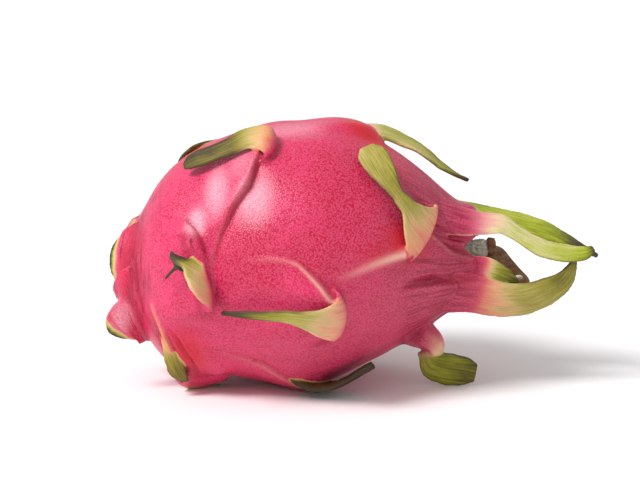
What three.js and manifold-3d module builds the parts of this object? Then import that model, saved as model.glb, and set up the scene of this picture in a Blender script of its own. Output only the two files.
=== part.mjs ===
// A whole dragon fruit (pitaya) lying on its side, in millimetres, +Z up.
// X runs along the fruit from its stem end (-X) to its crown (+X). The origin is at the small flat spot
// under the widest place, on which the fruit rests.
//
// A place on the fruit is given by x, by its clock angle round the fruit's axis (0 is the top, 90 the front,
// -Y, and 180 the underside) and by its lift above the plain skin.
import * as THREE from 'three';
import { mergeVertices } from 'three/addons/utils/BufferGeometryUtils.js';
import Module from 'manifold-3d';

// ---- Driving dimensions ----------------------------------------------------------------------------------
const BODY_RADIUS = 46;
const AXIS_HEIGHT = 45.8;          // just under the body's radius, so that the belly has a small flat spot
const STEM_X = -50;                // a lift is measured from the plain skin between these two places, and
const NECK_X = 66;                 // past them from a cylinder that carries on the skin's radius

// The body's outline from the stem pole to the rim of the neck: [x, share of the body's radius].
const OUTLINE = [
  [-58.5, 0], [-58, 0.13], [-56, 0.25], [-53, 0.36], [-49.5, 0.47], [-44, 0.645], [-38, 0.76], [-28, 0.86],
  [-14, 0.945], [0, 1], [12, 0.995], [22, 0.935], [31, 0.842], [40, 0.72], [48, 0.595], [55, 0.475],
  [61, 0.4], [66, 0.365],
];
// The hollow of the crown, from the neck's rim inwards to its floor on the axis: [x, radius].
const CROWN_HOLLOW = [[67, 13.5], [65, 10.5], [60, 8], [55.4, 6.8], [54, 4.8], [54, 0]];
// The scar left by the stem, from its floor on the axis to its rim: [x, radius].
const STEM_SCAR = [[-56.4, 0], [-56.6, 3.4], [-57.9, 4.6]];
// The fruit's axis droops towards the stem end and rises a little behind the neck: [x, rise].
const AXIS_RISE = [
  [-58.5, -8], [-50, -6.2], [-38, -3.7], [-24, -1.5], [-8, 0], [10, 0.2], [28, 1.6], [42, 1.4], [56, 0],
];

const ROWS = 42;                   // facets of the body along its outline
const SPOKES = 56;                 // facets of the body round its axis
const BLADE_SPANS = 10;            // facets of a scale along its length
const BLADE_STRIPS = 4;            // facets of a scale across its width
const MARGIN_THICKNESS = 0.9;      // of a thin scale at its two margins
const MARGIN_SHARE = 0.55;         // a fleshy scale's margins, as a share of its thickness
const STUMP_SIDES = 16;            // facets of the dried flower's stump round its axis
const SHORTEST_EDGE = 0.02;        // slivers finer than this are closed up after joining
const SPREAD_LENGTH = 14;          // behind its lip a scale's base widens over about this length,
const SIDE_INSIDE = 3;             // falls away from inside its side edges
const SIDE_OUTSIDE = 4;            // to outside them,
const LIP_INSIDE = 1;              // and from behind its lip
const LIP_OUTSIDE = 5;             // to in front of it
const FLOOR_WIDTH = 400;           // of the block that trims what reaches below the resting plane
const FLOOR_DEPTH = 30;
const SCAR_EDGE = 12;              // within this radius of the axis no scale's base swells the skin,
const FULL_SWELL = 20;             // and from this radius on it does so in full

const DEGREE = Math.PI / 180;
const { clamp, lerp, smoothstep } = THREE.MathUtils;

// ---- Scales ----------------------------------------------------------------------------------------------
// base: the swelling of the skin behind a scale's fold. lip is where it ends [x, clock], heading turns it
// from +X towards larger clock angles, half is its half width at the lip, up and down say how far each of its
// two margins spreads behind the lip, height is its lift at the lip and reach how far back it fades.
// path: the scale from its sunk root to its tip: [x, clock, lift, width, thickness, cup, roll].
// cup bends the two margins towards the inner face, and roll turns the section about the path, in degrees.
const SCALES = {
  back_left: {
    base: { lip: [-8, 29.4], heading: 0, half: 8, up: 14, down: 34, height: 2.4, reach: 26 },
    path: [
      [-25, 29, -6, 26, 5, 40, 0], [-15.6, 29, -2.8, 22, 4.4, 34, 0], [-8.6, 29.4, 0.2, 17, 3.4, 0, 0],
      [-4.9, 29.2, 2.8, 14, 2.8, -56, 4], [-5.8, 29.2, 4.6, 12.4, 2, -50, 14],
      [-11.6, 28.2, 4.8, 8.6, 1.7, 0, 26], [-17.5, 29.4, 4.2, 7, 1.6, 40, 32],
      [-23.6, 29.8, 3.8, 6.8, 1.6, 50, 34], [-28.4, 29.6, 4, 6.8, 1.5, 40, 34],
      [-31.6, 29.6, 4, 5.6, 1.4, 30, 30], [-33.2, 29.2, 3.6, 2.4, 1.3, 10, 30],
    ],
  },
  back_far: {
    base: { lip: [-22, -24], heading: 0, half: 8, up: 8, down: 8, height: 0.6, reach: 20 },
    path: [
      [-40, -24, -6, 22, 5, 36, 0], [-31, -24, -4, 18, 4.4, 30, 0], [-25, -24, -3, 15, 3.4, 18, 0],
      [-22, -24, -1.8, 13, 2.4, 8, 0], [-24, -24, -0.8, 12, 1.9, 10, 0], [-28, -23, 0.4, 11, 1.7, 30, 0],
      [-32.4, -22, 1, 10, 1.6, 40, 0], [-35.6, -21, 1, 7, 1.5, 30, 0], [-37.2, -20, 0, 3, 1.4, 10, 0],
    ],
  },
  front_left: {
    base: { lip: [-25.4, 88.4], heading: 0, half: 14, up: 14, down: 4, height: 2.6, reach: 22 },
    path: [
      [-40, 88.4, -6, 30, 5, 40, 0], [-32.6, 88.6, -3, 28, 4.4, 34, 0], [-27.4, 88.3, 0.2, 26, 3.6, 10, 0],
      [-24.7, 88.3, 2.8, 24, 2.8, -24, 0], [-25.4, 88.3, 4.6, 22, 2.2, -20, 0],
      [-27.8, 87.4, 5.6, 17.6, 1.8, 10, 0], [-29.8, 84.4, 6.4, 12, 1.6, 46, 0],
      [-32.2, 81, 6.8, 7.4, 1.6, 60, 0], [-34.6, 79.2, 6.8, 4.4, 1.6, 60, 20],
      [-36.5, 76.9, 6, 2.2, 1.4, 0, 20],
    ],
  },
  front_middle: {
    base: { lip: [18, 108], heading: 0, half: 7, up: 12, down: 4, height: 2.8, reach: 36 },
    path: [
      [-4, 106, -6, 30, 5, 38, 0], [7, 107, -3, 26, 4.4, 30, 0], [15.3, 108.4, 0.4, 19, 3.4, 10, 0],
      [19.2, 108.1, 3, 16.5, 2.4, -60, 0], [18.2, 106.9, 5.2, 14.6, 1.9, -54, 0],
      [13, 104.9, 6.2, 10.6, 1.7, 0, 0], [9.1, 103.9, 6.4, 7.8, 1.6, 30, 0],
      [5.2, 103.3, 6.4, 5.8, 1.6, 54, 0], [0.9, 103, 6, 4.8, 1.6, 60, 0], [-4, 103.5, 5.4, 4.2, 1.5, 56, 0],
      [-10.6, 103.9, 4.6, 3.2, 1.4, 30, 0], [-19.9, 103.8, 3.6, 1.6, 1.3, 0, 0],
    ],
  },
  front_right: {
    base: { lip: [48.6, 64.4], heading: 22, half: 8, up: 4, down: 10, height: 2.2, reach: 26 },
    path: [
      [30, 56, -6, 26, 5, 46, 0], [39, 61, -3, 22, 4.4, 42, 0], [46.9, 63.6, 0.2, 19, 3.4, 10, 0],
      [50.4, 64.8, 2.6, 17.5, 2.4, -56, 0], [49.2, 63.2, 4.8, 15.6, 1.9, -50, 0],
      [44.9, 59, 6, 8.4, 1.7, 10, 0], [40.6, 56.5, 6.2, 5.2, 1.7, 50, 0],
      [37.1, 53.5, 6.2, 4.2, 1.6, 50, 0], [34.5, 48.7, 6.2, 5.6, 1.6, 40, 0],
      [31.9, 43.1, 5.6, 7.2, 1.5, 30, 0], [29.3, 37.1, 4.6, 8.2, 1.5, 24, 0],
      [27.7, 32.5, 3.8, 8, 1.4, 20, 0], [26.6, 28.6, 3, 5, 1.4, 10, 0],
    ],
  },
  top: {
    base: { lip: [31, -7], heading: 0, half: 8, up: 9, down: 9, height: 3.6, reach: 30 },
    path: [
      [8, -7, -6, 24, 5, 34, 0], [20, -7, -2, 20, 4.4, 30, 0], [28, -8, 2.4, 14, 3.4, 22, -14],
      [34, -9, 5, 12, 2.6, 20, -24], [41, -11, 7, 12, 2, 20, -26], [48, -12, 9, 10.4, 1.8, 20, -24],
      [55, -13, 9.8, 8.4, 1.7, 16, -20], [61, -14, 9.6, 6, 1.6, 10, -10], [65, -14, 9, 2.5, 1.4, 0, 0],
    ],
  },
  under_right: {
    base: { lip: [44, 166], heading: 0, half: 8, up: 6, down: 6, height: 1, reach: 20 },
    path: [
      [30, 166, -6, 22, 7, 40, 0], [36, 166, -3, 22, 8, 40, 0], [40, 165, -0.4, 21.5, 10, 40, 0],
      [43.6, 164, 3.4, 20, 11, 40, 0], [46.8, 163, 6.4, 17.5, 11, 30, 0], [48.8, 163, 8.8, 12, 8, 10, 10],
      [49.4, 164, 11.4, 7, 2.6, 0, 40], [51.6, 165, 15.6, 11, 1.7, 0, 64],
      [57.4, 166, 20.8, 12.5, 1.6, 0, 76], [63.4, 167, 24.2, 10.5, 1.5, 0, 80],
      [67, 167, 25.6, 6.5, 1.4, 0, 80],
    ],
  },
  under_middle: {
    base: { lip: [12, 160], heading: 0, half: 8, up: 12, down: 4, height: 1.6, reach: 24 },
    path: [
      [-8, 160, -6, 24, 5, 30, 0], [1, 158, -2, 20, 4.4, 26, 0], [5, 157, 0.8, 18, 3.8, 22, -6],
      [11, 155, 3.6, 17, 3.2, 20, -16], [17.6, 152, 5.6, 14, 2.8, 24, -18],
      [23.4, 149, 5.8, 10, 2.4, 24, -16], [28.4, 147, 5.4, 7.4, 2.1, 10, -10], [31, 146, 5.4, 5, 1.8, 0, 0],
    ],
  },
  under_left: {
    base: { lip: [-28, 152], heading: 62, half: 9, up: 3, down: 8, height: 2.4, reach: 26 },
    path: [
      [-34, 118, -6, 24, 5, 40, 0], [-32.6, 130, -2.8, 22, 4.4, 34, 0], [-30.6, 142, 0.8, 19.6, 3.6, 26, 0],
      [-28.4, 153, 3.8, 18.4, 2.6, 16, 0], [-26, 162, 4.6, 15, 2.2, 10, 0],
      [-23.4, 167, 3.2, 10, 1.8, 10, 0], [-20.4, 168, 2, 3, 1.5, 0, 0],
    ],
  },
  under_left_edge: {
    base: { lip: [-38, 140], heading: 62, half: 3, up: 1, down: 1, height: 0.2, reach: 8 },
    path: [
      [-41, 127, -3, 3, 3, 20, 0], [-39.4, 132, 0.4, 4, 2.6, 30, 0], [-38, 138, 2, 5.6, 2.2, 50, 0],
      [-36.6, 146, 3, 8, 1.8, 60, 0], [-35.6, 154, 3.4, 8.6, 1.6, 50, 0], [-34.4, 160, 3, 6, 1.5, 30, 0],
      [-33, 166, 2, 2.4, 1.4, 0, 0],
    ],
  },
  stem_front: {
    base: { lip: [-50, 66], heading: 180, half: 10, up: 2, down: 2, height: 0.6, reach: 12 },
    path: [
      [-38, 73, -7, 34, 6, 70, 0], [-45, 70, -3, 33, 5.6, 76, 0], [-51, 65.4, -1.3, 31, 5, 80, 0],
      [-56, 60, -4.6, 27, 4.4, 80, 0], [-58.6, 56.4, -6.6, 20, 3.4, 70, 0],
      [-59.6, 54.8, -7.4, 16, 2.8, 60, 0], [-60.8, 52.4, -8.6, 10, 2, 40, 0],
    ],
  },
  stem_low: {
    base: { lip: [-46, 131], heading: 180, half: 8, up: 2, down: 2, height: 0.6, reach: 12 },
    path: [
      [-36, 130, -8, 24, 6, 40, 0], [-43, 130.8, -4.4, 23, 6, 50, 0], [-48, 129.6, 0, 22, 6.4, 56, -10],
      [-51.6, 131, 1.8, 20, 6, 60, -22], [-54.4, 131.4, 3, 17.6, 5.4, 60, -28],
      [-56.4, 134.6, 3.6, 14, 4.4, 56, -28], [-57.4, 137.6, 3.8, 11, 3.4, 50, -28],
      [-58, 141, 3.8, 6, 2.2, 30, -20],
    ],
  },
  crown_upper: {
    base: { lip: [54, 44], heading: 0, half: 8, up: 6, down: 6, height: 1.5, reach: 24 },
    path: [
      [36, 44, -6, 22, 5, 50, 0], [46, 45, -1.6, 19, 4.6, 50, 0], [54, 46, 2.2, 16, 3.8, 50, 0],
      [61, 46, 3, 12.5, 3, 50, 0], [68, 45, 2.2, 10, 2.4, 46, 0], [75, 45, 1.2, 8, 2, 30, 0],
      [81, 55, -1, 6.6, 1.8, 30, 0], [89, 71, -3, 8, 1.7, 40, 0], [97, 78, -5, 8, 1.7, 40, 0],
      [104, 78, -7, 6, 1.6, 50, 0], [107.5, 68, -8.4, 2.6, 1.4, 60, 0],
    ],
  },
  crown_far: {
    base: { lip: [56, -18], heading: 0, half: 8, up: 6, down: 6, height: 1, reach: 24 },
    path: [
      [40, -12, -6, 22, 5, 50, 0], [50, -14, -2.4, 20, 4.4, 56, 0], [58, -17, -0.4, 17, 3.4, 50, -10],
      [66, -22, 0, 15, 2.6, 40, -25], [74, -27, -2.8, 13.6, 2.2, 36, -40], [82, -29, -4.8, 13, 2, 36, -45],
      [91, -33, -7.4, 12, 1.8, 36, -45], [99, -44, -10.4, 8, 1.7, 36, -45],
      [105, -66, -13, 5, 1.5, 30, -45], [110.5, -122, -14.6, 1.8, 1.3, 0, -45],
    ],
  },
  crown_middle: {
    base: { lip: [60, 93], heading: 0, half: 6, up: 5, down: 5, height: 1.2, reach: 22 },
    path: [
      [40, 84, -6, 20, 5, 50, 0], [49, 90, -1.6, 18, 4.4, 56, 0], [57, 97, 0, 15, 3.8, 60, 0],
      [64, 101.5, 0.4, 12, 3, 62, 0], [69, 104, 0.4, 11.5, 2.4, 40, 0], [72.6, 108, -0.2, 10, 2, 34, 0],
      [77.4, 117, -1, 7, 1.7, 30, 0], [81, 128, -1.6, 2, 1.4, 0, 0],
    ],
  },
  crown_lower: {
    base: { lip: [58, 122], heading: 14, half: 8, up: 6, down: 8, height: 1.6, reach: 24 },
    path: [
      [38, 108, -6, 24, 5, 50, 0], [48, 113, -1.4, 21, 4.6, 54, 0], [57, 120, 1.8, 18, 4, 58, 0],
      [66, 128, 3.4, 16, 3.4, 58, 0], [74, 133, 4.6, 14.5, 2.8, 54, 0], [83, 134, 4, 13.5, 2.3, 50, 0],
      [91, 130, 1.6, 12.5, 2, 46, 0], [97, 124, -2, 9.5, 1.8, 40, 0], [100, 112, -6, 5.6, 1.6, 30, 0],
      [101, 96, -9, 2.5, 1.4, 0, 0],
    ],
  },
};

// Folded scales of the far side and the underside: [x, clock, length of the blade, width at the fold, drift
// of the blade round the fruit in degrees].
const FOLDED = [
  [12, 207, 34, 17, -4], [-8, 262, 38, 17, 3], [30, 246, 36, 17, -6], [8, 314, 34, 17, 4],
  [-31, 300, 24, 15, -3], [46, 300, 32, 15, -10], [45.4, 217, 30, 15, 6], [-34, 224, 15, 14, 4],
];
// Steps of such a blade: [distance behind the fold as a share of its length, lift, share of its width, cup].
const FOLDED_BLADE = [
  [0.04, 4.8, 0.9, -46], [0.22, 5.8, 0.6, 0], [0.45, 5.4, 0.42, 40], [0.72, 4.4, 0.32, 44], [1, 3, 0.1, 0],
];
for (const [x, clock, length, width, drift] of FOLDED) {
  SCALES[`folded_${clock}`] = {
    base: { lip: [x, clock], heading: 0, half: 8, up: 13, down: 13, height: 2.6, reach: 30 },
    path: [
      [x - 19, clock, -6, width * 1.7, 5, 40, 0], [x - 9, clock, -2.8, width * 1.4, 4.4, 32, 0],
      [x - 3.4, clock, 0.4, width * 1.12, 3.4, 10, 0], [x, clock, 2.8, width, 2.4, -54, 0],
      ...FOLDED_BLADE.map(([back, lift, share, cup]) => [
        x - back * length, clock + drift * back ** 2, lift, width * share, lerp(1.9, 1.3, back), cup, 0,
      ]),
    ],
  };
}

// Fleshy lobes round the stem scar, pointing away from the fruit.
for (const clock of [104, 200, 262, 316]) {
  SCALES[`stem_${clock}`] = {
    base: { lip: [-46, clock], heading: 180, half: 8, up: 2, down: 2, height: 0.6, reach: 12 },
    path: [
      [-38, clock, -8, 26, 6, 44, 0], [-45, clock, -4, 24, 5.6, 56, 0], [-50.6, clock, -0.8, 22, 5, 64, 0],
      [-55, clock, -2.4, 18, 4, 66, 0], [-58, clock + 2, -6, 10, 2.8, 50, 0],
      [-59, clock + 4, -7.4, 4, 2, 20, 0],
    ],
  };
}

// Short bracts of the crown that close the far side of the neck.
for (const [clock, tip] of [[178, 71], [226, 73], [292, 72]]) {
  SCALES[`crown_${clock}`] = {
    base: { lip: [56, clock], heading: 0, half: 8, up: 6, down: 6, height: 1, reach: 24 },
    path: [
      [40, clock, -6, 20, 5, 44, 0], [48, clock, -1.8, 18, 4.4, 52, 0], [56, clock, 0.6, 15, 3.4, 56, 0],
      [63, clock, 0.8, 11, 2.4, 56, 0], [tip - 3, clock, -0.4, 6, 1.7, 40, 0],
      [tip, clock, -1.4, 2, 1.4, 0, 0],
    ],
  };
}

// The dried flower in the hollow: its stump [x, radius], and the withered strap that hangs from it.
const FLOWER_STUMP = [
  [54.4, 0], [54.4, 3.2], [57, 4.2], [62, 5], [67, 4.6], [71, 5], [73.4, 4.4], [73.6, 2.4], [70, 1.8],
  [70, 0],
];
const FLOWER_STRAP = [
  [70, 70, -13, 4, 1.6, 20, 0], [74, 84, -11, 4, 1.4, 20, 0], [77, 120, -9.6, 4, 1.3, 20, 0],
  [80.4, 140, -7.4, 3.6, 1.2, 20, 0], [83.6, 152, -4.6, 3, 1.1, 20, 0], [84.6, 156, -2.2, 2.4, 1, 20, 0],
];

// ---- The plain skin --------------------------------------------------------------------------------------
// A smooth curve through points [x, value], held at its first and last value outside them.
function along(points, x) {
  const last = points.length - 1;
  if (x <= points[0][0]) return points[0][1];
  if (x >= points[last][0]) return points[last][1];
  const i = points.findIndex((point) => point[0] > x) - 1;
  const [x0, v0] = points[i];
  const [x1, v1] = points[i + 1];
  const [xa, va] = points[Math.max(i - 1, 0)];
  const [xb, vb] = points[Math.min(i + 2, last)];
  const t = (x - x0) / (x1 - x0);
  const slope0 = (v1 - va) / (x1 - xa) * (x1 - x0);
  const slope1 = (vb - v0) / (xb - x0) * (x1 - x0);
  return v0 * (2 * t ** 3 - 3 * t ** 2 + 1) + slope0 * (t ** 3 - 2 * t ** 2 + t)
    + v1 * (3 * t ** 2 - 2 * t ** 3) + slope1 * (t ** 3 - t ** 2);
}

// The radius that a lift at x is measured from.
function plainRadius(x) {
  return along(OUTLINE, clamp(x, STEM_X, NECK_X)) * BODY_RADIUS;
}

// Lift of one scale's base at a place on the skin.
function baseLift(base, x, clock) {
  const radius = plainRadius(base.lip[0]);
  const turn = (clock - base.lip[1] + 540) % 360 - 180;
  const forward = x - base.lip[0];
  const around = turn * DEGREE * radius;
  const cos = Math.cos(base.heading * DEGREE);
  const sin = Math.sin(base.heading * DEGREE);
  const behind = -(forward * cos + around * sin);
  const aside = around * cos - forward * sin;
  const spread = aside < 0 ? base.up : base.down;
  const half = base.half + spread * (1 - Math.exp(-Math.max(behind, 0) / SPREAD_LENGTH));
  const across = 1 - smoothstep(Math.abs(aside), half - SIDE_INSIDE, half + SIDE_OUTSIDE);
  const front = 1 - smoothstep(-behind, -LIP_INSIDE, LIP_OUTSIDE);
  const fade = 1 - smoothstep(behind, 0, base.reach);
  return base.height * across * front * fade;
}

function skinLift(x, clock) {
  let lift = 0;
  for (const scale of Object.values(SCALES)) {
    lift = Math.max(lift, baseLift(scale.base, x, clock));
  }
  return lift;
}

function place(x, clock, radius) {
  const angle = clock * DEGREE;
  const axis = AXIS_HEIGHT + along(AXIS_RISE, x);
  return new THREE.Vector3(x, -radius * Math.sin(angle), axis + radius * Math.cos(angle));
}

// ---- Meshes ----------------------------------------------------------------------------------------------
// Closed body from rings of equal length, capped by a fan on the first and the last ring's own centre point.
function closedRings(rings, first, last) {
  const count = rings[0].length;
  const points = [first, ...rings.flat(), last];
  const index = [];
  const at = (ring, i) => 1 + ring * count + (i % count);
  for (let i = 0; i < count; i += 1) {
    index.push(0, at(0, i + 1), at(0, i));
    index.push(points.length - 1, at(rings.length - 1, i), at(rings.length - 1, i + 1));
  }
  for (let ring = 0; ring < rings.length - 1; ring += 1) {
    for (let i = 0; i < count; i += 1) {
      index.push(at(ring, i), at(ring, i + 1), at(ring + 1, i + 1));
      index.push(at(ring, i), at(ring + 1, i + 1), at(ring + 1, i));
    }
  }
  const geometry = new THREE.BufferGeometry().setFromPoints(points);
  geometry.setIndex(index);
  return geometry;
}

function bodyGeometry() {
  const skin = OUTLINE.slice(1).map(([x, share]) => [x, share * BODY_RADIUS]);
  const profile = [...STEM_SCAR.slice(1), ...skin, ...CROWN_HOLLOW.slice(0, -1)];
  const curve = new THREE.SplineCurve(profile.map(([x, radius]) => new THREE.Vector2(x, radius)));
  const rings = curve.getSpacedPoints(ROWS).map(({ x, y: radius }) => {
    const ring = [];
    for (let i = 0; i < SPOKES; i += 1) {
      const clock = i / SPOKES * 360;
      ring.push(place(x, clock, radius + skinLift(x, clock) * smoothstep(radius, SCAR_EDGE, FULL_SWELL)));
    }
    return ring;
  });
  return closedRings(rings, place(STEM_SCAR[0][0], 0, 0), place(CROWN_HOLLOW.at(-1)[0], 0, 0));
}

// A scale: cupped sections carried along its path without twist, the outer face on the path.
function scaleGeometry(path) {
  const centres = path.map(([x, clock, lift]) => place(x, clock, plainRadius(x) + lift));
  const curve = new THREE.CatmullRomCurve3(centres, false, 'centripetal');
  const rings = [];
  const middles = [];
  let normal = null;
  for (let row = 0; row <= BLADE_SPANS; row += 1) {
    const t = row / BLADE_SPANS;
    const centre = curve.getPoint(t);
    const tangent = curve.getTangent(t);
    if (!normal) normal = new THREE.Vector3(0, centre.y, centre.z - AXIS_HEIGHT - along(AXIS_RISE, centre.x));
    normal = normal.clone().addScaledVector(tangent, -normal.dot(tangent)).normalize();
    const step = Math.min(Math.floor(t * (path.length - 1)), path.length - 2);
    const part = t * (path.length - 1) - step;
    const station = path[step].map((value, i) => lerp(value, path[step + 1][i], part));
    const [width, thickness, cup, roll] = station.slice(3);
    const out = normal.clone().applyAxisAngle(tangent, -roll * DEGREE);
    const side = new THREE.Vector3().crossVectors(tangent, out);
    const outer = [];
    const inner = [];
    for (let i = 0; i <= BLADE_STRIPS; i += 1) {
      const u = 2 * i / BLADE_STRIPS - 1;
      const bend = (Math.abs(cup) > 1 ? cup : 1) * DEGREE;
      const angle = u * bend / 2;
      const radius = width / bend;
      const direction = side.clone().multiplyScalar(Math.sin(angle)).addScaledVector(out, Math.cos(angle));
      const point = centre.clone().addScaledVector(out, -radius).addScaledVector(direction, radius);
      const depth = lerp(thickness, Math.max(MARGIN_THICKNESS, MARGIN_SHARE * thickness), u ** 4);
      outer.push(point);
      inner.unshift(point.clone().addScaledVector(direction, -depth));
    }
    rings.push([...outer, ...inner]);
    middles.push(centre.clone().addScaledVector(out, -thickness / 2));
  }
  return closedRings(rings, middles[0], middles.at(-1));
}

// ---- Solids ----------------------------------------------------------------------------------------------
const wasm = await Module();
wasm.setup();

function toSolid(geometry) {
  const merged = geometry.clone();
  merged.deleteAttribute('normal');
  merged.deleteAttribute('uv');
  const { attributes, index } = mergeVertices(merged, 1e-4);
  return new wasm.Manifold(new wasm.Mesh({
    numProp: 3,
    vertProperties: new Float32Array(attributes.position.array),
    triVerts: new Uint32Array(index.array),
  }));
}

function toGeometry(solid) {
  const mesh = solid.getMesh();
  const geometry = new THREE.BufferGeometry();
  geometry.setAttribute('position', new THREE.BufferAttribute(new Float32Array(mesh.vertProperties), 3));
  geometry.setIndex(new THREE.BufferAttribute(new Uint32Array(mesh.triVerts), 1));
  return geometry;
}

function fruitGeometry() {
  let solid = toSolid(bodyGeometry());
  for (const scale of Object.values(SCALES)) {
    solid = solid.add(toSolid(scaleGeometry(scale.path)));
  }
  const floor = new THREE.BoxGeometry(FLOOR_WIDTH, FLOOR_WIDTH, FLOOR_DEPTH);
  floor.translate(0, 0, -FLOOR_DEPTH / 2);
  return toGeometry(solid.subtract(toSolid(floor)).asOriginal().simplify(SHORTEST_EDGE));
}

function flowerGeometry() {
  const outline = FLOWER_STUMP.map(([x, radius]) => new THREE.Vector2(radius, x));
  const stump = new THREE.LatheGeometry(outline, STUMP_SIDES).rotateZ(-Math.PI / 2);
  stump.translate(0, 0, AXIS_HEIGHT);
  return toGeometry(toSolid(stump).add(toSolid(scaleGeometry(FLOWER_STRAP))));
}

const rind = new THREE.MeshStandardMaterial({ color: 0xc93a5a, roughness: 0.42, metalness: 0 });
const fruit = new THREE.Mesh(fruitGeometry(), rind);
fruit.name = 'fruit';

const driedPetals = new THREE.MeshStandardMaterial({ color: 0x5c4a3c, roughness: 0.9, metalness: 0 });
const witheredFlower = new THREE.Mesh(flowerGeometry(), driedPetals);
witheredFlower.name = 'withered_flower';

const group = new THREE.Group();
group.add(fruit, witheredFlower);
export default group;
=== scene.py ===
import math

import bpy
import numpy as np
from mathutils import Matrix, Vector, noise
from mathutils.bvhtree import BVHTree


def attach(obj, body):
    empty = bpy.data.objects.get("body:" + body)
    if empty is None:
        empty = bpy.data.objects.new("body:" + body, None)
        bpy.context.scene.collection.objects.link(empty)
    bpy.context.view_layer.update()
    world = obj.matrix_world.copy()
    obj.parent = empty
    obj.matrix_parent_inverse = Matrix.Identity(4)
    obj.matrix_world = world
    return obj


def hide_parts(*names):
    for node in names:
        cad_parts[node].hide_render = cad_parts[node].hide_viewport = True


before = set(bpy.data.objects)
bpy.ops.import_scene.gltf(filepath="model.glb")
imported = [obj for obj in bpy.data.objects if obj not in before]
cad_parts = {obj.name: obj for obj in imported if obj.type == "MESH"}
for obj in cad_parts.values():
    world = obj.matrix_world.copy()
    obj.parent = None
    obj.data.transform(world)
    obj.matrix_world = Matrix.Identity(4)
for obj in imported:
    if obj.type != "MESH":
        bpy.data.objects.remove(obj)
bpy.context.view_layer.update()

MM = 0.001


# ---- The fruit's measures, in millimetres ------------------------------------------------------------------
BODY_RADIUS = 46
AXIS_HEIGHT = 45.8
STEM_X = -50
NECK_X = 66
OUTLINE = [
    (-58.5, 0), (-58, 0.13), (-56, 0.25), (-53, 0.36), (-49.5, 0.47), (-44, 0.645), (-38, 0.76), (-28, 0.86),
    (-14, 0.945), (0, 1), (12, 0.995), (22, 0.935), (31, 0.842), (40, 0.72), (48, 0.595), (55, 0.475),
    (61, 0.4), (66, 0.365),
]
CROWN_HOLLOW = [(67, 13.5), (65, 10.5), (60, 8), (55.4, 6.8), (54, 4.8), (54, 0)]
STEM_SCAR = [(-56.4, 0), (-56.6, 3.4), (-57.9, 4.6)]
AXIS_RISE = [
    (-58.5, -8), (-50, -6.2), (-38, -3.7), (-24, -1.5), (-8, 0), (10, 0.2), (28, 1.6), (42, 1.4), (56, 0),
]
SPREAD_LENGTH = 14         # how soon a swelling widens behind its lip
SIDE_INSIDE = 3            # its side begins this far inside its edge
SIDE_OUTSIDE = 4           # and ends this far outside it
SCAR_EDGE = 12             # swellings begin at this radius from the axis
FULL_SWELL = 20            # and are full from this one
STEM_FOLDS = (-46, 8, 12)  # beyond this x folds begin at the first radius and are full from the second
RIM_NOTCH = (72, 13, 5)    # of the crown hollow's rim: clock, half width in degrees, depth
NOTCH_REACH = (52, 66)     # it begins at the first x and is full at the second
CROWN_INSIDE = (14.4, 11)  # the hollow's dry colour begins at the first radius and is full at the second
SCAR_INSIDE = (8, 5)       # the same of the stem scar
NECK_RADIUS = 22           # the wrinkles of the skin run on lines that are even at this radius
NECK_WRINKLES = (32, 48)   # they begin at the first x and are full at the second
STEM_WRINKLES = (38, 50)   # the same towards the stem, along -x
LUMPS = [(0.45, 17, 1), (0.2, 7, 2)]    # soft unevenness of the body: height, size across, seed
FOLD_CREST = (1, 0.8)      # a fold's crest: distance from the fold's line, half width
FOLD_CREASE = (0.4, 0.6)   # its crease, on the line's other side: the same
FOLD_EDGE = (-0.6, 0.8)    # its raised skin rises between these distances from the line
FOLD_FADE = (1.5, 13)      # and falls between these
SPOT_FADE = (0.2, 1.5)     # a soft spot is full within the first share of its half size, gone at the second

OUTLINE_STEPS = 40         # of the curve between two corners of the outline
BODY_ROWS = 250            # facets of the plain body along its outline
BODY_SPOKES = 420          # and round its axis
BLADE_ROWS = 72            # facets of a scale along its length
BLADE_STRIPS = 20          # and across its width
MARGIN_THICKNESS = 0.9     # of a thin scale at its two margins
MARGIN_SHARE = 0.5         # a fleshy scale's margins, as a share of its thickness
EMERGED = -0.5             # a scale emerges from the skin at this lift
FREE_SPAN = (0.1, 0.35)    # past where a scale emerges, the shares of its path over which ripples grow
WAVER = (0.05, 6)          # a scale's width wavers by this share, over this length
RIPPLES = [(5.5, 3.1, 7.7, 1), (2.2, 5.3, 3.3, 0.5)]    # of margins: length, steps of side and seed, height
MARGIN_POWER = 2.5         # how close to its margins a scale's ripples keep
LEAST_CUP = 1              # a flatter section than this many degrees is bent this much
RIB_DEPTH = 0.35           # of the shallow groove along the middle of a scale
RIB_SHOWN = (0.3, 0.6)     # the share of that depth on the outer face and on the inner
RIB_HALF = 0.22            # its half width, as a share of the scale's
RIB_FULL = 12              # a scale of this width or more has the full groove
RIM_WIDTH = (0.2, 1.5)     # a scale's coloured rim is full this near to its margin, and gone this far in
LIFTED = 2                 # a scale stands off the skin from this lift on
CORNER_REACH = 2.4         # corners are softened up to this far from where scale and body meet
CORNER_FULL = 0.25         # and in full up to this share of it
STRAND_FACETS = dict(rows=16, strips=4)    # facets of a dry strand
SKIN_GRAIN = 0.42          # the fused skin is made of facets of about this size
SKIN_TRIANGLES = 192000    # it is thinned to about this many
RESTING_BLOCK = [(-200, -200, -40), (200, 200, 0)]    # what is cut away under the table's plane
SMALLEST_SHELL = 500       # a shell with fewer points is a speck
CORNER_PASSES = 7          # of softening, in the corners
RIPPLE_PASSES = 2          # and all over, against the facets' own ripples
RIPPLE_WEIGHT = 0.6        # how far each of those goes

# What every point of the skin carries for its colours, three measures in each: change, nearness to a rim and
# freshness; tints of crimson, painted sheen and warmth; pale lines, painted shade in creases and wrinkles of
# the neck; place along and across the grain and rose tint; wrinkles of the stem end and painted corner shade.
LOOKS = ("blade", "tint", "lines", "grain", "worn")
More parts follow.
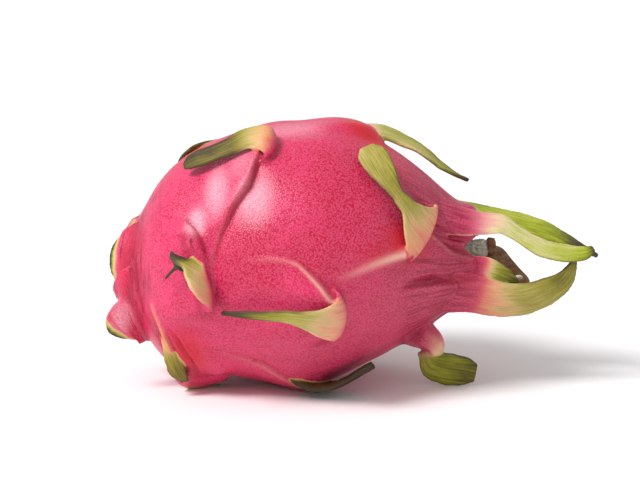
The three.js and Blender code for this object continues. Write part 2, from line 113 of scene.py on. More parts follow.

# Each scale: the swelling of the skin behind its fold (lip [x, clock], heading in degrees, half width at the
# lip, how far each margin spreads behind it, height, how far back it fades, how far it slopes off in front);
# the waviness of its margins; how much further one side has changed than the other, which also stands for
# painted shade along one margin of its channel (lean); how fresh its green is; and its path from the sunk
# root
# to the tip: x, clock, lift, width, thickness, cup, roll, and how far the outer and the inner face have
# changed there from pink rind (0) through peach (0.3), yellow-green (0.55) and olive (0.8) to dry brown (1).
# Cup is the angle by which a section bends towards its inner face; at a fold it is negative, and the margins
# bend the other way. Roll turns a section round its path.
SCALES = {
    "back_left": dict(
        base=(-8, 29.4, 0, 8, 14, 34, 2.4, 26, 7), wave=0.35, lean=-0.06, fresh=0.12,
        path=[
            (-25, 29, -6, 26, 5, 40, 0, 0, 0), (-15.6, 29, -2.8, 22, 4.4, 34, 0, 0, 0),
            (-8.6, 29.4, 0.2, 17, 3.4, 0, 0, 0, 0), (-4.9, 29.2, 2.8, 14, 2.8, -56, 4, 0.02, 0.04),
            (-5.8, 29.2, 4.6, 12.4, 2, -50, 14, 0.2, 0.24), (-11.6, 28.2, 4.8, 9, 1.7, 0, 26, 0.45, 0.52),
            (-17.5, 29.4, 4.2, 7.6, 1.6, 40, 32, 0.7, 0.74), (-23.6, 29.8, 3.8, 7.2, 1.6, 50, 34, 0.76, 0.8),
            (-28.4, 29.6, 4, 7, 1.5, 40, 34, 0.78, 0.82), (-31.6, 29.6, 4, 5.8, 1.4, 30, 30, 0.8, 0.84),
            (-33.2, 29.2, 3.6, 2.4, 1.3, 10, 30, 0.86, 0.86),
        ]),
    "back_far": dict(
        base=(-22, -24, 0, 8, 8, 8, 0.6, 20, 5), wave=0.5, lean=0, fresh=0,
        path=[
            (-40, -24, -6, 22, 5, 36, 0, 0, 0), (-31, -24, -4, 18, 4.4, 30, 0, 0, 0),
            (-25, -24, -3, 15, 3.4, 18, 0, 0, 0.1), (-22, -24, -1.8, 13, 2.4, 8, 0, 0.5, 0.75),
            (-24, -24, -0.8, 12, 1.9, 10, 0, 0.72, 0.86), (-28, -23, 0.4, 11, 1.7, 30, 0, 0.8, 0.86),
            (-32.4, -22, 1, 10, 1.6, 40, 0, 0.8, 0.84), (-35.6, -21, 1, 7, 1.5, 30, 0, 0.8, 0.8),
            (-37.2, -20, 0, 3, 1.4, 10, 0, 0.88, 0.88),
        ]),
    "front_left": dict(
        base=(-27.8, 88.4, 0, 14, 10, 4, 2.6, 22, 5), wave=0.35, lean=-0.1, fresh=0.3,
        path=[
            (-40, 88.4, -6, 30, 5, 40, 0, 0, 0), (-32.6, 88.6, -3, 28, 4.4, 34, 0, 0, 0),
            (-29.6, 87.4, 0.6, 26, 3.8, 6, 0, 0, 0), (-27.4, 87.2, 3.2, 25, 3, -8, 0, 0, 0.02),
            (-28, 86.2, 4.9, 22.6, 2.3, -4, 0, 0.2, 0.34), (-29.4, 84.4, 5.9, 16, 1.8, 12, 0, 0.5, 0.46),
            (-30.9, 82.7, 6.5, 10.4, 1.6, 44, 0, 0.64, 0.54), (-32, 81.8, 6.8, 6.6, 1.6, 60, 0, 0.8, 0.66),
            (-34.6, 79.2, 6.8, 4.4, 1.6, 60, 20, 0.95, 0.92), (-36.5, 76.9, 6, 2.2, 1.4, 0, 20, 1, 1),
        ]),
    "front_middle": dict(
        base=(18, 108, 0, 7, 8, 4, 2.6, 36, 5), wave=0.3, lean=-0.06, fresh=0.35,
        path=[
            (-4, 105, -6, 30, 5, 38, 0, 0, 0), (7, 106, -3, 26, 4.4, 30, 0, 0, 0),
            (15, 107.2, 0.4, 20, 3.4, 10, 0, 0, 0.02), (18.8, 108, 3, 17.6, 2.4, -64, 0, 0.03, 0.12),
            (17.8, 107.6, 5.2, 15.4, 1.9, -56, 0, 0.2, 0.22), (13, 106, 6.2, 10.8, 1.7, 0, 0, 0.4, 0.36),
            (9.1, 104.6, 6.4, 7.8, 1.6, 30, 0, 0.52, 0.46), (5.2, 103.6, 6.4, 5.8, 1.6, 54, 0, 0.58, 0.56),
            (0.9, 103, 6, 4.8, 1.6, 60, 0, 0.6, 0.6), (-4, 103.5, 5.4, 4.2, 1.5, 56, 0, 0.66, 0.68),
            (-10.6, 103.9, 4.6, 3.2, 1.4, 30, 0, 0.8, 0.78), (-19.9, 103.8, 3.6, 1.6, 1.3, 0, 0, 0.97, 0.97),
        ]),
    "front_right": dict(
        base=(46, 68.4, 22, 8, 4, 10, 2.2, 26, 5), wave=0.35, lean=-0.05, fresh=0.2,
        path=[
            (30, 52, -6, 26, 5, 46, 0, 0, 0), (37.4, 64.4, -3, 24, 4.4, 42, 0, 0, 0),
            (43.8, 67.6, 0.2, 22, 3.4, 10, 0, 0, 0.02), (47.2, 69.2, 2.6, 21.6, 2.4, -36, 0, 0.04, 0.18),
            (46.6, 68.4, 4.8, 20.4, 1.9, -30, 0, 0.25, 0.23), (44.2, 65, 5.8, 14.6, 1.7, 0, 0, 0.45, 0.34),
            (41, 59.4, 6.4, 7, 1.7, 50, 0, 0.6, 0.54), (37.6, 54, 6.2, 5.2, 1.6, 50, 0, 0.64, 0.62),
            (35.3, 49.6, 6.2, 7.2, 1.6, 40, 8, 0.66, 0.64), (33.3, 44.6, 5.6, 9.2, 1.5, 30, 14, 0.67, 0.62),
            (31, 38.4, 4.6, 10.6, 1.5, 24, 16, 0.68, 0.58), (29.4, 33.4, 3.8, 10, 1.4, 20, 16, 0.7, 0.56),
            (28, 29, 3, 5.4, 1.4, 10, 16, 0.75, 0.56),
        ]),
    "top": dict(
        base=(31, -7, 0, 8, 9, 9, 3.6, 30, 5), wave=0.5, lean=-0.12, fresh=0.5,
        path=[
            (8, -7, -6, 24, 5, 34, 0, 0, 0), (20, -7, -2, 20, 4.4, 30, 0, 0, 0),
            (28, -8, 2.4, 14, 3.4, 22, -14, 0.08, 0.1), (34, -9, 5, 12, 2.6, 20, -24, 0.5, 0.5),
            (41, -11, 7, 12, 2, 20, -26, 0.56, 0.6), (48, -12, 9, 10.4, 1.8, 20, -24, 0.6, 0.66),
            (55, -13, 9.8, 8.4, 1.7, 16, -20, 0.7, 0.75), (61, -14, 9.6, 6, 1.6, 10, -10, 0.84, 0.86),
            (65, -14, 9, 2.5, 1.4, 0, 0, 0.95, 0.95),
        ]),
    "under_right": dict(
        base=(44, 166, 0, 8, 6, 6, 1, 20, 5), wave=0.4, lean=0, fresh=0.6,
        path=[
            (30, 166, -6, 22, 7, 40, 0, 0, 0), (36, 166, -3, 22, 8, 40, 0, 0, 0),
            (40, 165, -0.4, 21.5, 10, 40, 0, 0, 0), (43.6, 164, 3.4, 20, 11, 40, 0, 0, 0),
            (46.8, 163, 6.4, 17.5, 11, 30, 0, 0.01, 0.04), (48.8, 163, 8.8, 12, 8, 10, 10, 0.1, 0.14),
            (49.4, 164, 11.4, 7, 2.6, 0, 40, 0.6, 0.66), (51.6, 165, 15.6, 11, 1.7, 0, 64, 0.7, 0.76),
            (57.4, 166, 20.8, 12.5, 1.6, 0, 76, 0.72, 0.78), (63.4, 167, 24.2, 10.5, 1.5, 0, 80, 0.76, 0.8),
            (67, 167, 25.6, 6.5, 1.4, 0, 80, 0.84, 0.84),
        ]),
    "under_middle": dict(
        base=(12, 160, 0, 8, 12, 4, 1.6, 24, 5), wave=0.4, lean=0, fresh=0,
        path=[
            (-8, 160, -6, 24, 5, 30, 0, 0.5, 0.5), (1, 158, -2, 20, 4.4, 26, 0, 0.88, 0.8),
            (5, 157, 0.8, 18, 3.8, 22, -6, 0.9, 0.8), (11, 155, 3.6, 17, 3.2, 20, -16, 0.9, 0.8),
            (17.6, 152, 5.6, 14, 2.8, 24, -18, 0.92, 0.84), (23.4, 149, 5.8, 10, 2.4, 24, -16, 0.9, 0.86),
            (28.4, 147, 5.4, 7.4, 2.1, 10, -10, 0.88, 0.86), (31, 146, 5.4, 5, 1.8, 0, 0, 0.95, 0.95),
        ]),
    "under_left": dict(
        base=(-28, 152, 62, 9, 3, 8, 2.4, 26, 5), wave=0.5, lean=0.25, fresh=0,
        path=[
            (-34, 118, -6, 24, 5, 40, 0, 0, 0), (-32.6, 130, -2.8, 22, 4.4, 34, 0, 0, 0),
            (-30.6, 142, 0.8, 19.6, 3.6, 26, 0, 0, 0.05), (-28.4, 153, 3.8, 18.4, 2.6, 16, 0, 0.01, 0.2),
            (-26, 162, 4.6, 15, 2.2, 10, 0, 0.08, 0.6), (-23.4, 167, 3.2, 10, 1.8, 10, 0, 0.5, 0.8),
            (-20.4, 168, 2, 4, 1.5, 0, 0, 0.9, 0.9),
        ]),
    "under_left_edge": dict(
        base=(-38, 140, 62, 3, 1, 1, 0.2, 8, 3), wave=0.9, lean=0, fresh=0.1,
        path=[
            (-41, 124, -3, 3, 3, 20, 0, 0, 0), (-40.2, 127.5, 0.4, 3.6, 2.6, 30, 0, 0.2, 0.3),
            (-39.4, 132.5, 2.4, 4.6, 2.2, 50, 0, 0.42, 0.5), (-38.4, 136.6, 4.2, 6.4, 1.8, 60, 0, 0.6, 0.66),
            (-37, 140.6, 6, 7, 1.6, 60, 0, 0.68, 0.72), (-35.4, 145, 7, 5.6, 1.5, 50, 0, 0.74, 0.8),
            (-34, 150.6, 7, 3, 1.4, 0, 0, 0.84, 0.86),
        ]),
    "stem_front": dict(
        base=(-50, 66, 180, 10, 2, 2, 0.6, 12, 5), wave=0.8, lean=0, fresh=0.5,
        path=[
            (-38, 73, -7, 34, 6, 70, 0, 0, 0), (-45, 70, -3, 33, 5.6, 76, 0, 0, 0.1),
            (-51, 65.4, -1.3, 31, 5, 80, 0, 0, 0.3), (-56, 60, -4.6, 27, 4.4, 80, 0, 0.01, 0.8),
            (-58.6, 56.4, -6.6, 20, 3.4, 70, 0, 0.12, 0.9), (-59.6, 54.8, -7.4, 16, 2.8, 60, 0, 0.84, 0.95),
            (-60.8, 52.4, -8.6, 10, 2, 40, 0, 1, 1),
        ]),
    "stem_low": dict(
        base=(-46, 131, 180, 8, 2, 2, 0.6, 12, 5), wave=0.4, lean=0, fresh=0.5,
        path=[
            (-36, 130, -8, 24, 6, 40, 0, 0, 0), (-43, 130.8, -4.4, 23, 6, 50, 0, 0, 0),
            (-48, 129.6, 0, 22, 6.4, 56, -10, 0, 0.1), (-51.6, 131, 1.8, 20, 6, 60, -22, 0, 0.2),
            (-54.4, 131.4, 3, 17.6, 5.4, 60, -28, 0.01, 0.5), (-56.4, 134.6, 3.6, 14, 4.4, 56, -28, 0.1, 0.8),
            (-57.4, 137.6, 3.8, 11, 3.4, 50, -28, 0.84, 0.95), (-58, 141, 3.8, 6, 2.2, 30, -20, 1, 1),
        ]),
    "crown_upper": dict(
        base=(54, 44, 0, 8, 6, 6, 1.5, 24, 5), wave=0.5, lean=0.05, fresh=1,
        path=[
            (36, 44, -6, 22, 5, 50, 0, 0, 0), (46, 45, -1.6, 19, 4.6, 50, 0, 0, 0.2),
            (54, 46, 2.2, 16, 3.8, 50, 0, 0, 0.4), (61, 46, 3, 12.5, 3, 50, 0, 0.04, 0.5),
            (68, 45, 2.2, 10, 2.4, 46, 0, 0.18, 0.58), (75, 45, 1.2, 8, 2, 30, 0, 0.36, 0.6),
            (81, 55, -1, 6.6, 1.8, 30, 0, 0.46, 0.58), (89, 71, -3, 8, 1.7, 40, 0, 0.51, 0.6),
            (97, 78, -5, 8, 1.7, 40, 0, 0.55, 0.62), (104, 78, -7, 6, 1.6, 50, 0, 0.64, 0.7),
            (107.5, 68, -8.4, 2.6, 1.4, 60, 0, 0.95, 0.95),
        ]),
    "crown_far": dict(
        base=(56, -18, 0, 8, 6, 6, 1, 24, 5), wave=0.4, lean=0, fresh=1,
        path=[
            (40, -12, -6, 22, 5, 50, 0, 0, 0), (50, -14, -2.4, 20, 4.4, 56, 0, 0.05, 0.3),
            (58, -17, -0.4, 17, 3.4, 50, -10, 0.5, 0.55), (66, -22, 0, 15, 2.6, 40, -25, 0.64, 0.64),
            (74, -27, -2.8, 13.6, 2.2, 36, -40, 0.66, 0.7), (82, -29, -4.8, 13, 2, 36, -45, 0.67, 0.72),
            (91, -33, -7.4, 12, 1.8, 36, -45, 0.69, 0.74), (99, -44, -10.4, 8, 1.7, 36, -45, 0.76, 0.82),
            (105, -66, -13, 5, 1.5, 30, -45, 0.95, 0.95), (110.5, -122, -14.6, 1.8, 1.3, 0, -45, 1, 1),
        ]),
    "crown_middle": dict(
        base=(60, 93, 0, 6, 5, 5, 1.2, 22, 5), wave=0.2, lean=0.05, fresh=0.4,
        path=[
            (40, 84, -6, 20, 5, 50, 0, 0, 0), (49, 90, -1.6, 18, 4.4, 56, 0, 0, 0.1),
            (57, 97, 0, 15, 3.8, 60, 0, 0, 0.3), (64, 101.5, 0.4, 12, 3, 62, 0, 0.02, 0.45),
            (69, 104, 0.4, 11.5, 2.4, 40, 0, 0.14, 0.6), (72.6, 108, -0.2, 10, 2, 34, 0, 0.64, 0.7),
            (77.4, 117, -1, 7, 1.7, 30, 0, 0.74, 0.75), (81, 128, -1.6, 2, 1.4, 0, 0, 0.8, 0.8),
        ]),
    "crown_lower": dict(
        base=(58, 122, 14, 8, 6, 8, 1.6, 24, 5), wave=0.5, lean=-0.03, fresh=0.25,
        path=[
            (38, 108, -6, 24, 5, 50, 0, 0, 0), (48, 113, -1.4, 21, 4.6, 54, 0, 0, 0.1),
            (57, 120, 2.4, 18, 4, 58, 0, 0, 0.3), (66, 128, 4, 16, 3.4, 58, 0, 0.1, 0.45),
            (74, 133, 4.6, 14.5, 2.8, 54, 0, 0.34, 0.55), (83, 134, 4, 13.5, 2.3, 50, 0, 0.56, 0.6),
            (91, 130, 1.6, 12.5, 2, 46, 0, 0.62, 0.64), (97, 124, -2, 9.5, 1.8, 40, 0, 0.66, 0.66),
            (100, 112, -6, 5.6, 1.6, 30, 0, 0.7, 0.7), (101, 96, -9, 2.5, 1.4, 0, 0, 0.8, 0.8),
        ]),
}

# Folded scales of the far side and the underside: x, clock, length of the blade, width at the fold, drift.
FOLDED = [
    (12, 207, 34, 17, -4), (-8, 262, 38, 17, 3), (30, 246, 36, 17, -6), (8, 314, 34, 17, 4),
    (-31, 300, 24, 15, -3), (46, 300, 32, 15, -10), (45.4, 217, 30, 15, 6), (-34, 224, 15, 14, 4),
]
# Steps of such a blade: distance behind the fold as a share of its length, lift, share of its width, cup, and
# the change of its outer and inner face.
FOLDED_BLADE = [
    (0.04, 4.8, 0.9, -46, 0.2, 0.22), (0.22, 5.8, 0.6, 0, 0.42, 0.42), (0.45, 5.4, 0.42, 40, 0.58, 0.58),
    (0.72, 4.4, 0.32, 44, 0.7, 0.72), (1, 3, 0.1, 0, 0.92, 0.95),
]
for x, clock, length, width, drift in FOLDED:
    SCALES[f"folded_{clock}"] = dict(
        base=(x, clock, 0, 8, 13, 13, 2.6, 30, 5), wave=0.35, lean=0, fresh=0,
        path=[
            (x - 19, clock, -6, width * 1.7, 5, 40, 0, 0, 0),
            (x - 9, clock, -2.8, width * 1.4, 4.4, 32, 0, 0, 0),
            (x - 3.4, clock, 0.4, width * 1.12, 3.4, 10, 0, 0, 0.05),
            (x, clock, 2.8, width, 2.4, -54, 0, 0.04, 0.14),
        ] + [
            (x - back * length, clock + drift * back ** 2, lift, width * share, 1.9 - 0.6 * back, cup, 0,
             outer, inner)
            for back, lift, share, cup, outer, inner in FOLDED_BLADE
        ])

# Fleshy lobes round the stem scar: clock and how far each has changed at its tip.
for clock, dried in ((104, 0.1), (200, 0.9), (262, 0.9), (316, 0.9)):
    SCALES[f"stem_{clock}"] = dict(
        base=(-46, clock, 180, 8, 2, 2, 0.6, 12, 5), wave=0.4, lean=0, fresh=0,
        path=[
            (-38, clock, -8, 26, 6, 44, 0, 0, 0), (-45, clock, -4, 24, 5.6, 56, 0, 0, 0.1),
            (-50.6, clock, -0.8, 22, 5, 64, 0, 0, 0.2), (-55, clock, -2.4, 18, 4, 66, 0, 0, 0.6 * dried),
            (-58, clock + 2, -6, 10, 2.8, 50, 0, 0.04, 0.6 * dried),
            (-59, clock + 4, -7.4, 4, 2, 20, 0, dried, dried),
        ])

# Short bracts of the crown that close the far side of the neck.
for clock, tip in ((178, 71), (226, 73), (292, 72)):
    SCALES[f"crown_{clock}"] = dict(
        base=(56, clock, 0, 8, 6, 6, 1, 24, 5), wave=0.3, lean=0, fresh=0.5,
        path=[
            (40, clock, -6, 20, 5, 44, 0, 0, 0), (48, clock, -1.8, 18, 4.4, 52, 0, 0, 0.1),
            (56, clock, 0.6, 15, 3.4, 56, 0, 0, 0.3), (63, clock, 0.8, 11, 2.4, 56, 0, 0.12, 0.45),
            (tip - 3, clock, -0.4, 6, 1.7, 40, 0, 0.5, 0.6), (tip, clock, -1.4, 2, 1.4, 0, 0, 0.8, 0.85),
        ])

# Raised folds of the skin, where the margin of a scale runs on over the body: the line's points x, clock and
# share of its full height; the height of its crest, the depth of the crease along it, the height of the skin
# on its raised side, and that side (1 is right of the way the line runs, seen from outside); how pale its
# crest, how much painted shade darkens its crease and how dry its crest is; and the half width of its crest
# (width) and its crease (gap), where they aren't the common ones.
FOLDS = {
    "below_back_left": dict(
        line=[(-7.4, 36, 1), (-8.6, 40, 1), (-10.8, 49, 1), (-15.7, 58.4, 0.9), (-19.9, 70.2, 0.7),
              (-22.6, 82, 0.4), (-22.4, 92.6, 0.3), (-23.1, 104.8, 0.3), (-25.7, 114.7, 0)],
        crest=0.25, crease=1.3, rise=0.8, side=1, light=0.1, crease_shade=1, width=0.6, gap=1),
    "above_front_left": dict(
        line=[(-33.4, 56, 0), (-32, 59.4, 1), (-29.6, 64.8, 1), (-27, 71, 1), (-25.6, 77, 1)],
        crest=0.3, crease=0.9, rise=0.7, side=1, light=0, crease_shade=1),
    "above_front_middle": dict(
        line=[(16.6, 99, 1), (13, 92.9, 1), (9, 87.6, 0.8), (5.5, 83.5, 0.55), (0.9, 81.7, 0.35),
              (-6.6, 81.1, 0.2), (-14, 80.6, 0)],
        crest=0.5, crease=0.9, rise=1.1, side=-1, light=0.8, crease_shade=0.6, width=0.55),
    "below_front_right": dict(
        line=[(45, 80.2, 1), (43.2, 83, 1), (40.4, 85, 1), (35.5, 87, 0.85), (29.4, 89.7, 0.55),
              (23.8, 91.9, 0.3), (17, 93.5, 0)],
        crest=0.7, crease=0.2, rise=0.6, side=1, light=1, crease_shade=0, width=1.3),
    "below_crown_upper": dict(
        line=[(44, 54, 0), (49, 56.5, 0.8), (54, 60, 1), (60, 63, 1), (66, 63, 1)],
        crest=0.2, crease=1.6, rise=1.2, side=-1, light=0, crease_shade=1),
    "above_crown_middle": dict(
        line=[(44, 62, 0), (50, 67, 0.7), (58, 75, 1), (65, 83, 1)],
        crest=0.3, crease=1.3, rise=0.9, side=1, light=0.15, crease_shade=1),
    "above_crown_lower": dict(
        line=[(37, 107, 0), (43, 102.4, 0.6), (49.4, 100.6, 1), (58.4, 103.7, 1), (66, 109, 1)],
        crest=0.1, crease=2.2, rise=1.3, side=1, light=0, crease_shade=1, gap=0.9),
    "groove_of_crown_lower": dict(
        line=[(47, 102.4, 0), (52, 104, 0.8), (58, 108, 1), (64, 116, 0.8), (70, 127, 0)],
        crest=0.2, crease=0.9, rise=0.2, side=1, light=0, crease_shade=1),
    "second_groove_of_crown_lower": dict(
        line=[(50, 110, 0), (55, 112, 0.8), (61, 118, 1), (67, 130, 0)],
        crest=0.2, crease=0.8, rise=0.2, side=1, light=0, crease_shade=0.8),
    "beside_stem_front": dict(
        line=[(-53.4, 30, 0), (-52.4, 55, 0.6), (-50.6, 76, 1), (-49.8, 98, 1), (-48.6, 113, 1),
              (-46.8, 125, 0)],
        crest=0.2, crease=1.2, rise=0.8, side=1, light=0, crease_shade=1),
    "front_of_under_left": dict(
        line=[(-45.8, 102, 0), (-44.9, 108.8, 0.5), (-42.6, 118.3, 0.8), (-40.3, 130.2, 1), (-37.8, 146, 0.9),
              (-35.2, 160, 0.6), (-32, 168, 0.4)],
        crest=0.9, crease=1.2, rise=1.4, side=-1, light=1, crease_shade=0.9, width=0.8, dry=0.34),
    "groove_of_under_left": dict(
        line=[(-41, 111, 0), (-35.6, 122.8, 0.8), (-30.9, 137.9, 1), (-27.6, 153, 0.7)],
        crest=0.3, crease=1.3, rise=0.3, side=-1, light=0, crease_shade=1),
    "second_groove_of_under_left": dict(
        line=[(-43, 113.4, 0), (-38.6, 123.4, 1), (-34.4, 140, 1), (-31.4, 156, 0.7)],
        crest=0.3, crease=1.2, rise=0.3, side=-1, light=0, crease_shade=1),
    "above_under_middle": dict(
        line=[(-24, 128, 0), (-13, 132.5, 0.5), (-6.6, 135.7, 1), (1.7, 146, 1), (7, 156, 1)],
        crest=0.3, crease=0.6, rise=0.9, side=1, light=0.2, crease_shade=0.4),
}

# Tints of the skin: x, clock, half length, half width round the fruit, strength.
CRIMSON = [
    (26, 48, 24, 30, 1), (12, 78, 20, 14, 0.8), (34, 76, 12, 12, 0.8), (2, 52, 14, 20, 0.4),
    (30, -4, 14, 10, 0.8), (-10, 80, 16, 16, 0.9), (20, 255, 34, 40, 0.8), (-6, 300, 26, 24, 0.5),
    (10, 180, 30, 24, 0.5), (46, 50, 12, 12, 0.5),
]
# Painted sheen: pale spots on the skin where highlights fall.
PAINTED_SHEEN = [
    (-28.8, 62, 3.6, 5, 1), (-22, 48, 4, 10, 0.8), (-9, 56, 6, 9, 0.7), (-14, 38, 5, 6, 0.4),
    (2, 14, 12, 8, 0.5), (-40, 150, 7, 8, 0.5), (-56, 124, 4, 5, 0.7), (14, 320, 16, 16, 0.4),
]
WARM = [
    (41, 77, 8, 7, 0.8), (31, 83, 6, 4, 0.4), (28, 5, 9, 9, 1), (-52, 132, 9, 12, 0.3),
    (-33, 134, 8, 12, 0.8), (-36, -10, 10, 12, 0.7), (-54, 70, 5, 16, 0.4),
]
ROSE = [
    (52, 100, 22, 60, 0.7), (20, 130, 26, 22, 0.45), (50, 20, 14, 40, 0.4), (50, 220, 22, 60, 0.55),
]
# Dry strands at the tip of one scale: x, clock, lift, width.
STRANDS = [
    [(-31.5, 81.4, 6.6, 2.4), (-34.2, 79, 7.6, 2), (-36.2, 76.4, 7.4, 1.8), (-37, 74.2, 6.4, 1.4)],
    [(-31.5, 82, 6.6, 2), (-33.8, 81.6, 8, 1.8), (-35.8, 82.8, 8, 1.4), (-37.6, 84.7, 7.4, 1.2),
     (-39, 86.8, 6.4, 1)],
    [(-30.9, 82.9, 6.4, 2), (-32.6, 83, 7.6, 2), (-34.4, 81, 8.4, 1.8), (-35.9, 79.4, 7.4, 1.2)],
]


# ---- Curves and places -------------------------------------------------------------------------------------
def smoothstep(value, low, high):
    share = np.clip((value - low) / (high - low), 0, 1)
    return share * share * (3 - 2 * share)


def curve_value(points, x):
    """Smooth curve through points (x, value), held at its first and last value outside them."""
    places, values = np.array(points, float).T
    x = np.clip(np.asarray(x, float), places[0], places[-1])
    i = np.clip(np.searchsorted(places, x, side="right") - 1, 0, len(places) - 2)
    before, after = np.maximum(i - 1, 0), np.minimum(i + 2, len(places) - 1)
    width = places[i + 1] - places[i]
    t = (x - places[i]) / width
    slope0 = (values[i + 1] - values[before]) / (places[i + 1] - places[before]) * width
    slope1 = (values[after] - values[i]) / (places[after] - places[i]) * width
    return (values[i] * (2 * t ** 3 - 3 * t ** 2 + 1) + slope0 * (t ** 3 - 2 * t ** 2 + t)
            + values[i + 1] * (3 * t ** 2 - 2 * t ** 3) + slope1 * (t ** 3 - t ** 2))


def plain_radius(x):
    """Radius of the plain body, held beyond the stem end and the neck."""
    return curve_value(OUTLINE, np.clip(x, STEM_X, NECK_X)) * BODY_RADIUS


def place(x, clock, radius):
    """Points at x along the fruit, at a clock angle and a radius from its rising axis."""
    angle = np.radians(clock)
    axis = AXIS_HEIGHT + curve_value(AXIS_RISE, x)
    return np.stack(np.broadcast_arrays(x, -radius * np.sin(angle), axis + radius * np.cos(angle)), axis=-1)


def turn_between(clock, middle):
    """How far clock lies past middle, between -180 and 180 degrees."""
    return (clock - middle + 540) % 360 - 180


def spot(spots, x, clock):
    """Strength of soft spots (x, clock, half length, half width, strength) at places on the skin."""
    total = np.zeros_like(x)
    for middle, angle, half_length, half_width, strength in spots:
        around = np.radians(turn_between(clock, angle)) * plain_radius(x)
        distance = np.hypot((x - middle) / half_length, around / half_width)
        total = np.maximum(total, strength * (1 - smoothstep(distance, *SPOT_FADE)))
    return total


def bumps(points, size, seed):
    """Soft bumps between -1 and 1, about size millimetres across."""
    shift = Vector((17.3, 5.1, 9.7)) * seed
    return np.array([noise.noise(Vector(point) / size + shift) for point in points])


# ---- The body ----------------------------------------------------------------------------------------------
def swelling(base, x, clock):
    """Lift of the skin behind one scale's fold."""
    lip_x, lip_clock, heading, half, up, down, height, reach, slope = base
    forward = x - lip_x
    around = np.radians(turn_between(clock, lip_clock)) * plain_radius(lip_x)
    cos, sin = math.cos(math.radians(heading)), math.sin(math.radians(heading))
    behind = -(forward * cos + around * sin)
    aside = around * cos - forward * sin
    spread = np.where(aside < 0, up, down)
    edge = half + spread * (1 - np.exp(-np.maximum(behind, 0) / SPREAD_LENGTH))
    across = 1 - smoothstep(np.abs(aside), edge - SIDE_INSIDE, edge + SIDE_OUTSIDE)
    return height * across * (1 - smoothstep(-behind, -1, slope)) * (1 - smoothstep(behind, 0, reach))


def along_fold(line, x, clock):
    """Signed distance from a fold's line in the unrolled skin, and the fold's share of its height there."""
    nearest = np.full(x.shape, 1e9)
    signed = np.zeros_like(x)
    share = np.zeros_like(x)
    radius = plain_radius(x)
    for (x0, clock0, share0), (x1, clock1, share1) in zip(line[:-1], line[1:]):
        across = np.radians(turn_between(clock, clock0)) * radius
        step_x, step_y = x1 - x0, np.radians(clock1 - clock0) * radius
        t = np.clip(((x - x0) * step_x + across * step_y) / (step_x ** 2 + step_y ** 2), 0, 1)
        gap_x, gap_y = x - x0 - t * step_x, across - t * step_y
        gap = np.hypot(gap_x, gap_y)
        closer = gap < nearest
        nearest = np.where(closer, gap, nearest)
        signed = np.where(closer, gap * np.sign(step_x * gap_y - step_y * gap_x), signed)
        share = np.where(closer, share0 + (share1 - share0) * t, share)
    return signed, share


def fold_marks(x, clock):
    """What the folds do at places on the skin: lift, pale crest, painted shade in the crease and dryness."""
    lift, light, crease_shade, dry = (np.zeros_like(x) for _ in range(4))
    for fold in FOLDS.values():
        signed, share = along_fold(fold["line"], x, clock)
        inside = signed * fold["side"]
        crest = np.exp(-((inside - FOLD_CREST[0]) / fold.get("width", FOLD_CREST[1])) ** 2) * share
        crease = np.exp(-((inside + FOLD_CREASE[0]) / fold.get("gap", FOLD_CREASE[1])) ** 2) * share
        raised = smoothstep(inside, *FOLD_EDGE) * (1 - smoothstep(inside, *FOLD_FADE)) * share
        lift = lift + fold["crest"] * crest - fold["crease"] * crease + fold["rise"] * raised
        light = np.maximum(light, fold["light"] * crest)
        # Painted shade: the crease is darkened where shade falls in it.
        crease_shade = np.maximum(crease_shade, fold["crease_shade"] * crease * crease)
        dry = np.maximum(dry, fold.get("dry", 0) * crest)
    return lift, light, crease_shade, dry


